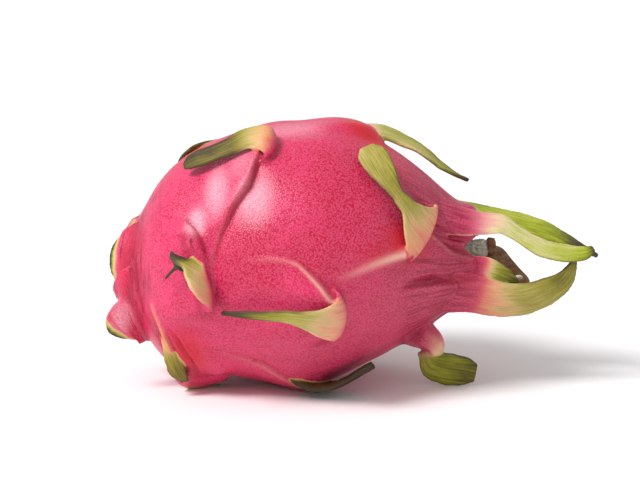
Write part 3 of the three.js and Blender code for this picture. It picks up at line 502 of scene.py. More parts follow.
def body_source():
    """The plain body with its swellings and folds: points, faces and the looks of each point."""
    outline = [(x, share * BODY_RADIUS) for x, share in OUTLINE[1:]]
    corners = np.array(STEM_SCAR[1:] + outline + CROWN_HOLLOW[:-1], float)
    padded = np.vstack([corners[:1], corners, corners[-1:]])
    fine = []
    for p0, p1, p2, p3 in zip(padded[:-3], padded[1:-2], padded[2:-1], padded[3:]):
        for t in np.linspace(0, 1, OUTLINE_STEPS, endpoint=False):
            v0, v1 = (p2 - p0) / 2, (p3 - p1) / 2
            fine.append((2 * p1 - 2 * p2 + v0 + v1) * t ** 3
                        + (-3 * p1 + 3 * p2 - 2 * v0 - v1) * t ** 2 + v0 * t + p1)
    fine = np.vstack([fine, corners[-1]])
    length = np.concatenate([[0], np.cumsum(np.hypot(*np.diff(fine, axis=0).T))])
    even = np.linspace(0, length[-1], BODY_ROWS + 1)
    row_x, row_radius = np.interp(even, length, fine[:, 0]), np.interp(even, length, fine[:, 1])
    spokes = np.arange(BODY_SPOKES) * 360 / BODY_SPOKES
    x, clock = [part.ravel() for part in np.meshgrid(row_x, spokes, indexing="ij")]
    radius = np.repeat(row_radius, BODY_SPOKES)

    scale_lift = np.zeros_like(x)
    for scale in SCALES.values():
        scale_lift = np.maximum(scale_lift, swelling(scale["base"], x, clock))
    fold_lift, light, crease_shade, dry = fold_marks(x, clock)
    outside = smoothstep(radius, SCAR_EDGE, FULL_SWELL)
    folds_shown = np.maximum(outside, (x < STEM_FOLDS[0]) * smoothstep(radius, *STEM_FOLDS[1:]))
    notch = np.exp(-(turn_between(clock, RIM_NOTCH[0]) / RIM_NOTCH[1]) ** 2) * smoothstep(x, *NOTCH_REACH)
    x = x - RIM_NOTCH[2] * notch
    plain = place(x, clock, radius)
    lumps = sum(height * bumps(plain, size, seed) for height, size, seed in LUMPS)
    wrinkled = smoothstep(x, *NECK_WRINKLES) * outside
    points = place(x, clock, radius + (scale_lift + lumps) * outside + fold_lift * folds_shown)

    hollow = smoothstep(-radius, -CROWN_INSIDE[0], -CROWN_INSIDE[1]) * (x > 0)
    scar = smoothstep(-radius, -SCAR_INSIDE[0], -SCAR_INSIDE[1]) * (x < 0)
    looks = dict(
        blade=np.stack([np.maximum(hollow + scar, dry), np.zeros_like(x), np.zeros_like(x)], axis=-1),
        tint=np.stack([spot(CRIMSON, x, clock), spot(PAINTED_SHEEN, x, clock), spot(WARM, x, clock)], axis=-1),
        lines=np.stack([light * folds_shown, crease_shade * folds_shown, wrinkled], axis=-1),
        grain=np.stack([x, np.radians(turn_between(clock, 0)) * NECK_RADIUS, spot(ROSE, x, clock)], axis=-1),
        worn=np.stack([smoothstep(-x, *STEM_WRINKLES), np.zeros_like(x), np.zeros_like(x)], axis=-1))
    ends = [place(middle[0], 0, 0) for middle in (STEM_SCAR[0], CROWN_HOLLOW[-1])]
    return closed_rings(points, BODY_SPOKES, *ends, looks)


def closed_rings(points, count, first, last, looks):
    """A closed tube from rings of count points, with a fan at each end that takes the looks of its ring."""
    rings = len(points) // count
    i = np.arange(count)
    j = (i + 1) % count
    end = len(points) + 1
    faces = [np.stack([np.zeros_like(i), 1 + j, 1 + i], axis=1)]
    for ring in range(rings - 1):
        here, there = 1 + ring * count, 1 + (ring + 1) * count
        faces.append(np.stack([here + i, here + j, there + j], axis=1))
        faces.append(np.stack([here + i, there + j, there + i], axis=1))
    base = 1 + (rings - 1) * count
    faces.append(np.stack([np.full_like(i, end), base + i, base + j], axis=1))
    carried = {
        name: np.vstack([values[:count].mean(axis=0), values, values[-count:].mean(axis=0)])
        for name, values in looks.items()
    }
    return np.vstack([first, points, last]), np.vstack(faces), carried


# ---- The scales --------------------------------------------------------------------------------------------
def path_point(centres, t):
    """A centripetal curve through the centres, at t from 0 to 1."""
    last = len(centres) - 1
    i = min(int(t * last), last - 1)
    weight = t * last - i
    p1, p2 = centres[i], centres[i + 1]
    p0 = centres[i - 1] if i > 0 else 2 * centres[0] - centres[1]
    p3 = centres[i + 2] if i + 2 <= last else 2 * centres[-1] - centres[-2]
    d0, d1, d2 = (max(np.linalg.norm(b - a) ** 0.5, 1e-4) for a, b in ((p0, p1), (p1, p2), (p2, p3)))
    slope1 = ((p1 - p0) / d0 - (p2 - p0) / (d0 + d1) + (p2 - p1) / d1) * d1
    slope2 = ((p2 - p1) / d1 - (p3 - p1) / (d1 + d2) + (p3 - p2) / d2) * d1
    return ((2 * p1 - 2 * p2 + slope1 + slope2) * weight ** 3
            + (-3 * p1 + 3 * p2 - 2 * slope1 - slope2) * weight ** 2 + slope1 * weight + p1)


def unit(vector):
    return vector / np.linalg.norm(vector)


def blade_source(path, wave, seed, lean=0, fresh=0, rows=BLADE_ROWS, strips=BLADE_STRIPS):
    """A scale: cupped sections carried along its path without twist, the outer face on the path."""
    stations = np.array(path, float)
    stations = np.hstack([stations, np.zeros((len(stations), 9 - stations.shape[1]))])
    centres = place(stations[:, 0], stations[:, 1], plain_radius(stations[:, 0]) + stations[:, 2])
    emerges = np.argmax(stations[:, 2] > EMERGED) / (len(stations) - 1)
    across = np.sin(np.linspace(-1, 1, strips + 1) * math.pi / 2)
    points, blades, grains, middles = [], [], [], []
    normal, walked, previous = None, 0.0, None
    for row in range(rows + 1):
        t = row / rows
        centre = path_point(centres, t)
        step = 1e-3
        tangent = unit(path_point(centres, min(t + step, 1)) - path_point(centres, max(t - step, 0)))
        if normal is None:
            normal = np.array([0, centre[1], centre[2] - AXIS_HEIGHT - curve_value(AXIS_RISE, centre[0])])
        normal = unit(normal - tangent * normal.dot(tangent))
        walked += 0 if previous is None else np.linalg.norm(centre - previous)
        previous = centre
        at = t * (len(stations) - 1)
        values = [np.interp(at, np.arange(len(stations)), stations[:, k]) for k in range(3, 9)]
        width, thickness, cup, roll, outer_change, inner_change = values
        angle = math.radians(roll)
        side = np.cross(tangent, normal)
        out = normal * math.cos(angle) - side * math.sin(angle)
        side = np.cross(tangent, out)
        free = smoothstep(t, emerges + FREE_SPAN[0], min(emerges + FREE_SPAN[1], 1))
        ripple = [
            sum(height * noise.noise(Vector((walked / length, hand * aside, seed * onward)))
                for length, aside, onward, height in RIPPLES)
            for hand in (-1, 1)]
        width *= 1 + WAVER[0] * free * noise.noise(Vector((walked / WAVER[1], 0.5, seed * 1.9)))
        bend = math.radians(cup if abs(cup) > LEAST_CUP else LEAST_CUP)
        radius = width / bend
        turn = across * bend / 2
        direction = side * np.sin(turn)[:, None] + out * np.cos(turn)[:, None]
        lifted = np.where(across < 0, ripple[0], ripple[1]) * np.abs(across) ** MARGIN_POWER * wave * free
        rib = -RIB_DEPTH * free * np.exp(-(across / RIB_HALF) ** 2) * min(width / RIB_FULL, 1)
        outer = centre - out * radius + direction * (radius + lifted + RIB_SHOWN[0] * rib)[:, None]
        rim = max(MARGIN_THICKNESS, MARGIN_SHARE * thickness)
        depth = thickness + (rim - thickness) * across ** 4
        inner = outer - direction * (depth + RIB_SHOWN[1] * rib)[:, None]
        points.append(np.vstack([outer, inner[::-1]]))
        middles.append(centre - out * thickness / 2)
        edge = (1 - np.abs(across)) * width / 2
        near_rim = (1 - smoothstep(edge, *RIM_WIDTH)) * free
        both = np.concatenate([near_rim, near_rim[::-1]])
        # Lean: one margin further changed than the other, partly drying and partly painted shade in the
        # channel.
        leaning = lean * across * free
        change = np.concatenate([outer_change + leaning, (inner_change + leaning)[::-1]])
        blades.append(np.stack([change, both, np.full_like(both, fresh)], axis=1))
        spread = np.concatenate([across, across[::-1]]) * width / 2
        grains.append(np.stack([np.full_like(spread, walked), spread, np.zeros_like(spread)], axis=1))
    points, blades, grains = np.vstack(points), np.vstack(blades), np.vstack(grains)
    x = points[:, 0]
    above_axis = points[:, 2] - AXIS_HEIGHT - curve_value(AXIS_RISE, x)
    clock = np.degrees(np.arctan2(-points[:, 1], above_axis))
    grains[:, 2] = spot(ROSE, x, clock)
    looks = dict(
        blade=blades,
        tint=np.stack([spot(CRIMSON, x, clock), spot(PAINTED_SHEEN, x, clock), spot(WARM, x, clock)], axis=-1),
        # The lines' middle measure: painted shade of the creases, carried onto the scales' roots.
        lines=np.stack([np.zeros_like(x), fold_marks(x, clock)[2], smoothstep(x, *NECK_WRINKLES)], axis=-1),
        grain=grains,
        worn=np.stack([smoothstep(-x, *STEM_WRINKLES), np.zeros_like(x), np.zeros_like(x)], axis=-1))
    return closed_rings(points, 2 * (strips + 1), middles[0], middles[-1], looks)


# ---- Fusing ------------------------------------------------------------------------------------------------
def mesh_object(name, points, faces, looks=None):
    mesh = bpy.data.meshes.new(name)
    mesh.from_pydata((points * MM).tolist(), [], faces.tolist())
    for key, values in (looks or {}).items():
        layer = mesh.attributes.new(key, "FLOAT_VECTOR", "POINT")
        layer.data.foreach_set("vector", values.astype(np.float32).ravel())
    piece = bpy.data.objects.new(name, mesh)
    bpy.context.scene.collection.objects.link(piece)
    return piece


def add(tree, kind, inputs=None, **settings):
    """Adds a node to a tree with its settings; an input is a value, or the socket that feeds it."""
    node = tree.nodes.new(kind)
    for key, value in settings.items():
        setattr(node, key, value)
    for key, value in (inputs or {}).items():
        socket = node.inputs[key]
        if isinstance(value, bpy.types.NodeSocket):
            tree.links.new(value, socket)
        else:
            socket.default_value = value
    return node


def joined_source(parts):
    """Several sources as one."""
    starts = np.cumsum([0] + [len(points) for points, _, _ in parts[:-1]])
    points = np.vstack([points for points, _, _ in parts])
    faces = np.vstack([faces + start for (_, faces, _), start in zip(parts, starts)])
    looks = {name: np.vstack([part_looks[name] for _, _, part_looks in parts]) for name in parts[0][2]}
    return points, faces, looks


def discard(helper):
    """Removes a helper object with its mesh."""
    mesh = helper.data
    bpy.data.objects.remove(helper)
    bpy.data.meshes.remove(mesh)


def geometry_tree(name, sockets):
    """An empty Geometry Nodes tree with named inputs (name, socket type, default) and one geometry output."""
    tree = bpy.data.node_groups.new(name, "GeometryNodeTree")
    tree.interface.new_socket("Geometry", in_out="INPUT", socket_type="NodeSocketGeometry")
    for label, kind, default in sockets:
        socket = tree.interface.new_socket(label, in_out="INPUT", socket_type=kind)
        if default is not None:
            socket.default_value = default
    tree.interface.new_socket("Geometry", in_out="OUTPUT", socket_type="NodeSocketGeometry")
    return tree, add(tree, "NodeGroupInput").outputs


def grow(piece, tree, values):
    """Runs the piece's modifiers and this tree, its inputs set by identifier, and keeps the plain mesh."""
    modifier = piece.modifiers.new(tree.name, "NODES")
    modifier.node_group = tree
    for item in tree.interface.items_tree:
        if item.item_type == "SOCKET" and item.in_out == "INPUT" and item.name in values:
            modifier[item.identifier] = values[item.name]
    graph = bpy.context.evaluated_depsgraph_get()
    mesh = bpy.data.meshes.new_from_object(piece.evaluated_get(graph), depsgraph=graph)
    piece.modifiers.clear()
    old, piece.data = piece.data, mesh
    bpy.data.meshes.remove(old)
    mesh.name = piece.name
    return piece


def fused_skin_tree():
    """Drops specks, softens the corners where scales leave the body, takes the looks of the loose pieces and
    sets the material."""
    tree, given = geometry_tree("fused_skin", [
        ("Loose Pieces", "NodeSocketObject", None), ("Corner Passes", "NodeSocketInt", CORNER_PASSES),
        ("Ripple Passes", "NodeSocketInt", RIPPLE_PASSES), ("Least Points", "NodeSocketInt", SMALLEST_SHELL),
        ("Material", "NodeSocketMaterial", None)])
    loose = add(tree, "GeometryNodeObjectInfo", {"Object": given["Loose Pieces"]}).outputs["Geometry"]
    corner = add(tree, "GeometryNodeInputNamedAttribute", {"Name": "worn"}, data_type="FLOAT_VECTOR")
    near = add(tree, "GeometryNodeSampleNearestSurface", {"Mesh": loose, "Value": corner.outputs[0]},
               data_type="FLOAT_VECTOR")
    weight = add(tree, "ShaderNodeSeparateXYZ", {"Vector": near.outputs["Value"]}).outputs["Y"]
    position = add(tree, "GeometryNodeInputPosition").outputs["Position"]
    # Specks that thinning left apart from the skin are dropped.
    island = add(tree, "GeometryNodeInputMeshIsland").outputs["Island Index"]
    extent = add(tree, "GeometryNodeAccumulateField", {"Value": 1.0, "Group ID": island}).outputs["Total"]
    speck = add(tree, "FunctionNodeCompare", {"A": extent, "B": given["Least Points"]}, operation="LESS_THAN")
    skin = add(tree, "GeometryNodeDeleteGeometry", {
        "Geometry": given["Geometry"], "Selection": speck.outputs[0]}, domain="POINT").outputs[0]
    for passes, share in ((given["Corner Passes"], weight), (given["Ripple Passes"], RIPPLE_WEIGHT)):
        soft = add(tree, "GeometryNodeBlurAttribute", {
            "Value": position, "Iterations": passes, "Weight": share}, data_type="FLOAT_VECTOR").outputs[0]
        skin = add(tree, "GeometryNodeSetPosition", {"Geometry": skin, "Position": soft}).outputs[0]
    for name in LOOKS:
        value = add(tree, "GeometryNodeInputNamedAttribute", {"Name": name}, data_type="FLOAT_VECTOR")
        taken = add(tree, "GeometryNodeSampleNearestSurface", {"Mesh": loose, "Value": value.outputs[0]},
                    data_type="FLOAT_VECTOR").outputs["Value"]
        if name == "blade":
            taken = add(tree, "GeometryNodeBlurAttribute", {"Value": taken, "Iterations": 2},
                        data_type="FLOAT_VECTOR").outputs[0]
        skin = add(tree, "GeometryNodeStoreNamedAttribute", {"Geometry": skin, "Name": name, "Value": taken},
                   data_type="FLOAT_VECTOR", domain="POINT").outputs[0]
    skin = add(tree, "GeometryNodeSetShadeSmooth", {"Geometry": skin}).outputs[0]
    skin = add(tree, "GeometryNodeRealizeInstances", {"Geometry": skin}).outputs[0]
    skin = add(tree, "GeometryNodeSetMaterial", {"Geometry": skin, "Material": given["Material"]}).outputs[0]
    add(tree, "NodeGroupOutput", {"Geometry": skin})
    return tree


def near_other(points, tree, reach):
    """1 at points that lie on the other surface, falling to 0 at reach millimetres from it."""
    gaps = []
    for point in points:
        found = tree.find_nearest(Vector(point), reach)
        gaps.append(found[3] if found[0] is not None else reach)
    return 1 - smoothstep(np.array(gaps), CORNER_FULL * reach, reach)


def fused_fruit(material):
    """The body, the scales and the dry strands fused into one closed skin with a flat resting spot. Corners
    are softened where a scale's root, the part before it stands off the skin, meets the body."""
    parts = [body_source()]
    roots = []
    for number, scale in enumerate(SCALES.values()):
        part = blade_source(scale["path"], scale["wave"], number + 1, scale["lean"], scale["fresh"])
        lifts = np.array([station[2] for station in scale["path"]])
        folded = (np.argmax(lifts > LIFTED) if lifts.max() > LIFTED else len(lifts) - 2) / (len(lifts) - 1)
        root = 1 + int(folded * BLADE_ROWS) * 2 * (BLADE_STRIPS + 1)
        roots.append(root)
        parts.append(part)
    for number, strand in enumerate(STRANDS):
        path = [(x, clock, lift, width, width, 20, 0, 1, 1) for x, clock, lift, width in strand]
        roots.append(1)
        parts.append(blade_source(path, 0, 60 + number, **STRAND_FACETS))
    body_tree = BVHTree.FromPolygons(parts[0][0].tolist(), parts[0][1].tolist())
    root_faces, root_points, start = [], [], 0
    for (points, faces, _), root in zip(parts[1:], roots):
        root_points.append(points[:root])
        root_faces.append(faces[(faces < root).all(axis=1)] + start)
        start += root
    root_tree = BVHTree.FromPolygons(np.vstack(root_points).tolist(), np.vstack(root_faces).tolist())
    corner = [near_other(parts[0][0], root_tree, CORNER_REACH)]
    for (points, _, _), root in zip(parts[1:], roots):
        values = np.zeros(len(points))
        values[:root] = near_other(points[:root], body_tree, CORNER_REACH)
        corner.append(values)

    points, faces, looks = joined_source(parts)
    # Nearness to where a scale's root meets the body: it softens those corners and sets the painted shade
    # there.
    looks["worn"][:, 1] = np.concatenate(corner)
    loose = mesh_object("loose_pieces", points, faces, looks)

    skin = mesh_object("dragon_fruit_skin", points, faces)
    remesh = skin.modifiers.new("fuse", "REMESH")
    remesh.mode = "VOXEL"
    remesh.voxel_size = SKIN_GRAIN * MM
    remesh.use_smooth_shade = True
    block = mesh_object("resting_plane", *box_source(*RESTING_BLOCK))
    cut = skin.modifiers.new("flat_spot", "BOOLEAN")
    cut.operation = "DIFFERENCE"
    cut.solver = "MANIFOLD"
    cut.object = block
    graph = bpy.context.evaluated_depsgraph_get()
    fused = skin.evaluated_get(graph).data
    fused.calc_loop_triangles()
    thin = skin.modifiers.new("lighter", "DECIMATE")
    thin.ratio = min(1, SKIN_TRIANGLES / len(fused.loop_triangles))
    grow(skin, fused_skin_tree(), {
        "Loose Pieces": loose, "Corner Passes": CORNER_PASSES, "Ripple Passes": RIPPLE_PASSES,
        "Least Points": SMALLEST_SHELL, "Material": material})
    discard(loose)
    discard(block)
    return skin


def box_source(low, high):
    """A box between two corners."""
    corners = np.array([[(low, high)[k >> i & 1][i] for i in range(3)] for k in range(8)], float)
    faces = np.array([(0, 2, 3, 1), (4, 5, 7, 6), (0, 1, 5, 4), (2, 6, 7, 3), (0, 4, 6, 2), (1, 3, 7, 5)])
    return corners, faces


# ---- Materials ---------------------------------------------------------------------------------------------
def colour(code):
    """An sRGB hex colour as linear red, green, blue and alpha."""
    parts = [int(code[i:i + 2], 16) / 255 for i in (1, 3, 5)]
    linear = [part / 12.92 if part <= 0.04045 else ((part + 0.055) / 1.055) ** 2.4 for part in parts]
    return (*linear, 1.0)


def material_tree(name):
    material = bpy.data.materials.new(name)
    material.use_nodes = True
    material.node_tree.nodes.clear()
    return material, material.node_tree


PORE_SPACING = 0.6         # in millimetres, as drawn
# Leafy colours by how far a scale has changed: pink, peach, yellow-green, olive, dry brown.
COMMON_LEAF = [
    (0.0, "#cf295c"), (0.12, "#d4505a"), (0.26, "#dd8f62"), (0.38, "#d2a066"), (0.52, "#ac964c"),
    (0.66, "#8d7c2e"), (0.78, "#6b5b1e"), (0.88, "#4c4022"), (1.0, "#3a3026"),
]
FRESH_LEAF = [
    (0.0, "#c62853"), (0.16, "#d87484"), (0.32, "#e3b49c"), (0.44, "#d6cb96"), (0.58, "#bcbe62"),
    (0.7, "#a3ad24"), (0.8, "#7f861c"), (0.9, "#544c22"), (1.0, "#3a3026"),
]


def waxy_rind():
    """Dragon fruit rind: a thin waxy skin over pink flesh, leafy green to dry brown on the scales. It gives
    the eye fine pale pores on crimson, a soft sheen with painted pale sheen spots where highlights fall, pale
    ridges, and dark red creases and wrinkles whose darkness is painted shade."""
    material, tree = material_tree("dragon_fruit_rind")
    place_at = add(tree, "ShaderNodeTexCoord").outputs["Object"]
    read = {name: add(tree, "ShaderNodeAttribute", attribute_name=name).outputs["Vector"] for name in LOOKS}
    change, rim, fresh = add(tree, "ShaderNodeSeparateXYZ", {"Vector": read["blade"]}).outputs
    crimson, painted_sheen, warm = add(tree, "ShaderNodeSeparateXYZ", {"Vector": read["tint"]}).outputs
    pale, crease_shade, neck = add(tree, "ShaderNodeSeparateXYZ", {"Vector": read["lines"]}).outputs
    rose = add(tree, "ShaderNodeSeparateXYZ", {"Vector": read["grain"]}).outputs["Z"]
    stem, corner, _ = add(tree, "ShaderNodeSeparateXYZ", {"Vector": read["worn"]}).outputs

    # Soft patterns by how often they repeat in a millimetre: mottling 9 mm across; drifts of colour 14 mm
    # long and 5 mm wide; speckles of the painted sheen 0.7 mm across; wrinkles about 1 mm apart, 20 mm long
    # on the neck and 14 mm long round the stem end; streaks 2 mm and fibres 0.8 mm apart along each scale.
    # The last four read the skin's own measures, which are in millimetres; the others read metres.
    patterns = {}
    for name, at, stretch, detail, low, high in (
            ("mottling", place_at, (0.11 / MM, 0.11 / MM, 0.11 / MM), 3.0, 0.3, 0.7),
            ("drifts", place_at, (0.07 / MM, 0.21 / MM, 0.21 / MM), 3.0, 0.36, 0.66),
            ("speckles", place_at, (1.4 / MM, 1.4 / MM, 1.4 / MM), 2.0, 0.3, 0.75),
            ("neck wrinkles", read["grain"], (0.05, 0.8, 0), 3.0, 0.44, 0.7),
            ("stem wrinkles", read["grain"], (0.8, 0.07, 0), 2.0, 0.5, 0.68),
            ("streaks", read["grain"], (0.06, 0.5, 0), 2.0, 0.3, 0.7),
            ("fibres", read["grain"], (0.09, 1.3, 0), 3.0, 0.2, 0.8)):
        stretched = add(tree, "ShaderNodeMapping", {"Vector": at, "Scale": stretch}).outputs[0]
        soft = add(tree, "ShaderNodeTexNoise", {"Vector": stretched, "Scale": 1.0, "Detail": detail})
        patterns[name] = add(tree, "ShaderNodeMapRange", {
            "Value": soft.outputs["Fac"], "From Min": low, "From Max": high},
            interpolation_type="SMOOTHSTEP").outputs[0]
    # Pores: the real ones are about 0.3 mm apart and are drawn 0.6 mm apart, so that they show.
    cells = add(tree, "ShaderNodeTexVoronoi", {
        "Vector": place_at, "Scale": 1 / (PORE_SPACING * MM), "Randomness": 1.0})
    pores = add(tree, "ShaderNodeMapRange", {
        "Value": cells.outputs["Distance"], "From Min": 0.75, "From Max": 0.25}).outputs[0]

    # Where each layer of colour lies on the pink skin.
    mottled = add(tree, "ShaderNodeMath", {0: patterns["mottling"], 1: 0.4, 2: -0.2},
                  operation="MULTIPLY_ADD").outputs[0]
    reddened = add(tree, "ShaderNodeMath", {0: crimson, 1: mottled}, operation="ADD").outputs[0]
    deep = add(tree, "ShaderNodeMapRange", {"Value": reddened, "From Min": 0.05, "From Max": 0.95},
               interpolation_type="SMOOTHSTEP").outputs[0]
    shown_pores = add(tree, "ShaderNodeMath", {0: pores, 1: 0.5}, operation="MULTIPLY").outputs[0]
    # Painted sheen: pale speckled spots where highlights fall on the skin.
    painted_sheen_share = add(tree, "ShaderNodeMath", {0: painted_sheen, 1: patterns["speckles"]}, operation="MULTIPLY").outputs[0]
    painted_sheen_share = add(tree, "ShaderNodeMath", {0: painted_sheen, 1: painted_sheen_share}, operation="ADD").outputs[0]
    painted_sheen_share = add(tree, "ShaderNodeMath", {0: painted_sheen_share, 1: 0.34}, operation="MULTIPLY").outputs[0]
    along = add(tree, "ShaderNodeMath", {0: neck, 1: patterns["neck wrinkles"]}, operation="MULTIPLY")
    around = add(tree, "ShaderNodeMath", {0: stem, 1: patterns["stem wrinkles"]}, operation="MULTIPLY")
    wrinkles = add(tree, "ShaderNodeMath", {0: along.outputs[0], 1: around.outputs[0]},
                   operation="MAXIMUM").outputs[0]
    # Painted shade in the wrinkles' grooves.
    wrinkle_groove_shade = add(tree, "ShaderNodeMath", {0: wrinkles, 1: 0.85}, operation="MULTIPLY").outputs[0]
    # Painted shade where a scale's root meets the body.
    shaded_corner = add(tree, "ShaderNodeMath", {0: corner, 1: 0.45}, operation="MULTIPLY").outputs[0]

    # Layers over the pink skin: the sheen spots are a painted highlight; the crease, wrinkle and corner
    # layers are painted shade.
    skin = colour("#cf2056")
    for share, code in (
            (patterns["drifts"], "#bf1545"), (deep, "#b80535"), (rose, "#9a2a40"), (shown_pores, "#e66088"),
            (warm, "#cc1426"), (painted_sheen_share, "#f9cfdc"), (wrinkle_groove_shade, "#8c1036"), (crease_shade, "#9c0629"),
            (shaded_corner, "#9a0c30"), (pale, "#efb5a4")):
        skin = add(tree, "ShaderNodeMix", {"Factor": share, 6: skin, 7: colour(code)},
                   data_type="RGBA").outputs[2]

    # Leafy colours, uneven along the fibres: one row for common scales and one for fresh ones.
    fibrous = add(tree, "ShaderNodeMath", {0: patterns["fibres"], 1: 0.16, 2: -0.08},
                  operation="MULTIPLY_ADD").outputs[0]
    patchy = add(tree, "ShaderNodeMath", {0: patterns["mottling"], 1: 0.08, 2: fibrous},
                 operation="MULTIPLY_ADD").outputs[0]
    streaky = add(tree, "ShaderNodeMath", {0: patterns["streaks"], 1: 0.18, 2: -0.09},
                  operation="MULTIPLY_ADD").outputs[0]
    turning = add(tree, "ShaderNodeMapRange", {"Value": change, "From Min": 0.6, "From Max": 0.3}).outputs[0]
    uneven = add(tree, "ShaderNodeMath", {0: streaky, 1: turning, 2: patchy},
                 operation="MULTIPLY_ADD").outputs[0]
    leafy = add(tree, "ShaderNodeMapRange", {"Value": change, "From Min": 0.05, "From Max": 0.45},
                interpolation_type="SMOOTHSTEP").outputs[0]
    changed = add(tree, "ShaderNodeMath", {0: uneven, 1: leafy, 2: change},
                  operation="MULTIPLY_ADD").outputs[0]
    common = add(tree, "ShaderNodeValToRGB", {"Fac": changed})
    young = add(tree, "ShaderNodeValToRGB", {"Fac": changed})
    for ramp, stops in ((common, COMMON_LEAF), (young, FRESH_LEAF)):
        elements = ramp.color_ramp.elements
        while len(elements) < len(stops):
            elements.new(0.5)
        for element, (position, code) in zip(elements, stops):
            element.position, element.color = position, colour(code)
    leaf = add(tree, "ShaderNodeMix", {
        "Factor": fresh, 6: common.outputs["Color"], 7: young.outputs["Color"]}, data_type="RGBA").outputs[2]
    # The rim of a scale: pale where it is still pink or yellow, dark where it is olive.
    for edge, soft_change, sharp_change, most, code in (
            (0.3, 0.7, 0.3, 0.5, "#dcbf92"), (0.6, 0.45, 0.75, 0.8, "#4e3d2a")):
        near_edge = add(tree, "ShaderNodeMapRange", {"Value": rim, "From Min": edge, "From Max": 0.9},
                        interpolation_type="SMOOTHSTEP").outputs[0]
        by_change = add(tree, "ShaderNodeMapRange", {
            "Value": change, "From Min": soft_change, "From Max": sharp_change, "To Max": most},
            interpolation_type="SMOOTHSTEP").outputs[0]
        share = add(tree, "ShaderNodeMath", {0: near_edge, 1: by_change}, operation="MULTIPLY").outputs[0]
        leaf = add(tree, "ShaderNodeMix", {"Factor": share, 6: leaf, 7: colour(code)},
                   data_type="RGBA").outputs[2]
    turned = add(tree, "ShaderNodeMapRange", {"Value": changed, "From Min": 0.01, "From Max": 0.2},
                 interpolation_type="SMOOTHSTEP").outputs[0]
    surface = add(tree, "ShaderNodeMix", {"Factor": turned, 6: skin, 7: leaf}, data_type="RGBA").outputs[2]

    # Relief: raised pores, sunk wrinkles, and fibres where the skin is leafy.
    sunk = add(tree, "ShaderNodeMath", {0: wrinkles, 1: -0.35}, operation="MULTIPLY").outputs[0]
    relief = add(tree, "ShaderNodeMath", {0: pores, 1: 0.12, 2: sunk}, operation="MULTIPLY_ADD").outputs[0]
    ribbed = add(tree, "ShaderNodeMath", {0: patterns["fibres"], 1: leafy}, operation="MULTIPLY").outputs[0]
    relief = add(tree, "ShaderNodeMath", {0: ribbed, 1: 0.3, 2: relief}, operation="MULTIPLY_ADD").outputs[0]
    bump = add(tree, "ShaderNodeBump", {
        "Height": relief, "Strength": 0.6, "Distance": 1 * MM}).outputs["Normal"]
    roughness = add(tree, "ShaderNodeMapRange", {
        "Value": change, "From Min": 0.1, "From Max": 1.0, "To Min": 0.34, "To Max": 0.75}).outputs[0]
    shader = add(tree, "ShaderNodeBsdfPrincipled", {
        "Base Color": surface, "Roughness": roughness, "Normal": bump, "IOR": 1.4,
        "Subsurface Weight": 0.06, "Subsurface Radius": (1.0, 0.25, 0.2), "Subsurface Scale": 1.5 * MM})
    add(tree, "ShaderNodeOutputMaterial", {"Surface": shader.outputs[0]})
    return material


def papery_flower():
    """Dried flower tissue: papery and matt. It gives the eye lilac-grey tepals, brown where driest."""
    material, tree = material_tree("dried_flower_tissue")
    place_at = add(tree, "ShaderNodeTexCoord").outputs["Object"]
    tone = add(tree, "ShaderNodeAttribute", attribute_name="tone").outputs["Vector"]
    tone = add(tree, "ShaderNodeSeparateXYZ", {"Vector": tone}).outputs["X"]
    # Fibres about 1 mm apart along the tissue, and worn patches about 3 mm across.
    fibre_at = add(tree, "ShaderNodeMapping", {
        "Vector": place_at, "Scale": (0.16 / MM, 1 / MM, 1 / MM)}).outputs[0]
    fibres = add(tree, "ShaderNodeTexNoise", {"Vector": fibre_at, "Scale": 1.0, "Detail": 2.0}).outputs["Fac"]
    patches = add(tree, "ShaderNodeTexNoise", {
        "Vector": place_at, "Scale": 1 / (3 * MM), "Detail": 2.0}).outputs["Fac"]
    worn = add(tree, "ShaderNodeMath", {0: fibres, 1: patches}, operation="ADD").outputs[0]
    shift = add(tree, "ShaderNodeMath", {0: worn, 1: 0.45, 2: -0.45}, operation="MULTIPLY_ADD").outputs[0]
    share = add(tree, "ShaderNodeMath", {0: tone, 1: shift}, operation="ADD").outputs[0]
    ramp = add(tree, "ShaderNodeValToRGB", {"Fac": share})
    stops = [(0.0, "#e6dccd"), (0.2, "#d6ccd2"), (0.42, "#a9988f"), (0.68, "#8a6145"), (1.0, "#4a3023")]
    elements = ramp.color_ramp.elements
    while len(elements) < len(stops):
        elements.new(0.5)
    for element, (position, code) in zip(elements, stops):
        element.position, element.color = position, colour(code)
    bump = add(tree, "ShaderNodeBump", {
        "Height": fibres, "Strength": 0.7, "Distance": 0.5 * MM}).outputs["Normal"]
    shader = add(tree, "ShaderNodeBsdfPrincipled", {
        "Base Color": ramp.outputs["Color"], "Roughness": 0.8, "Normal": bump, "IOR": 1.45})
    add(tree, "ShaderNodeOutputMaterial", {"Surface": shader.outputs[0]})
    return material


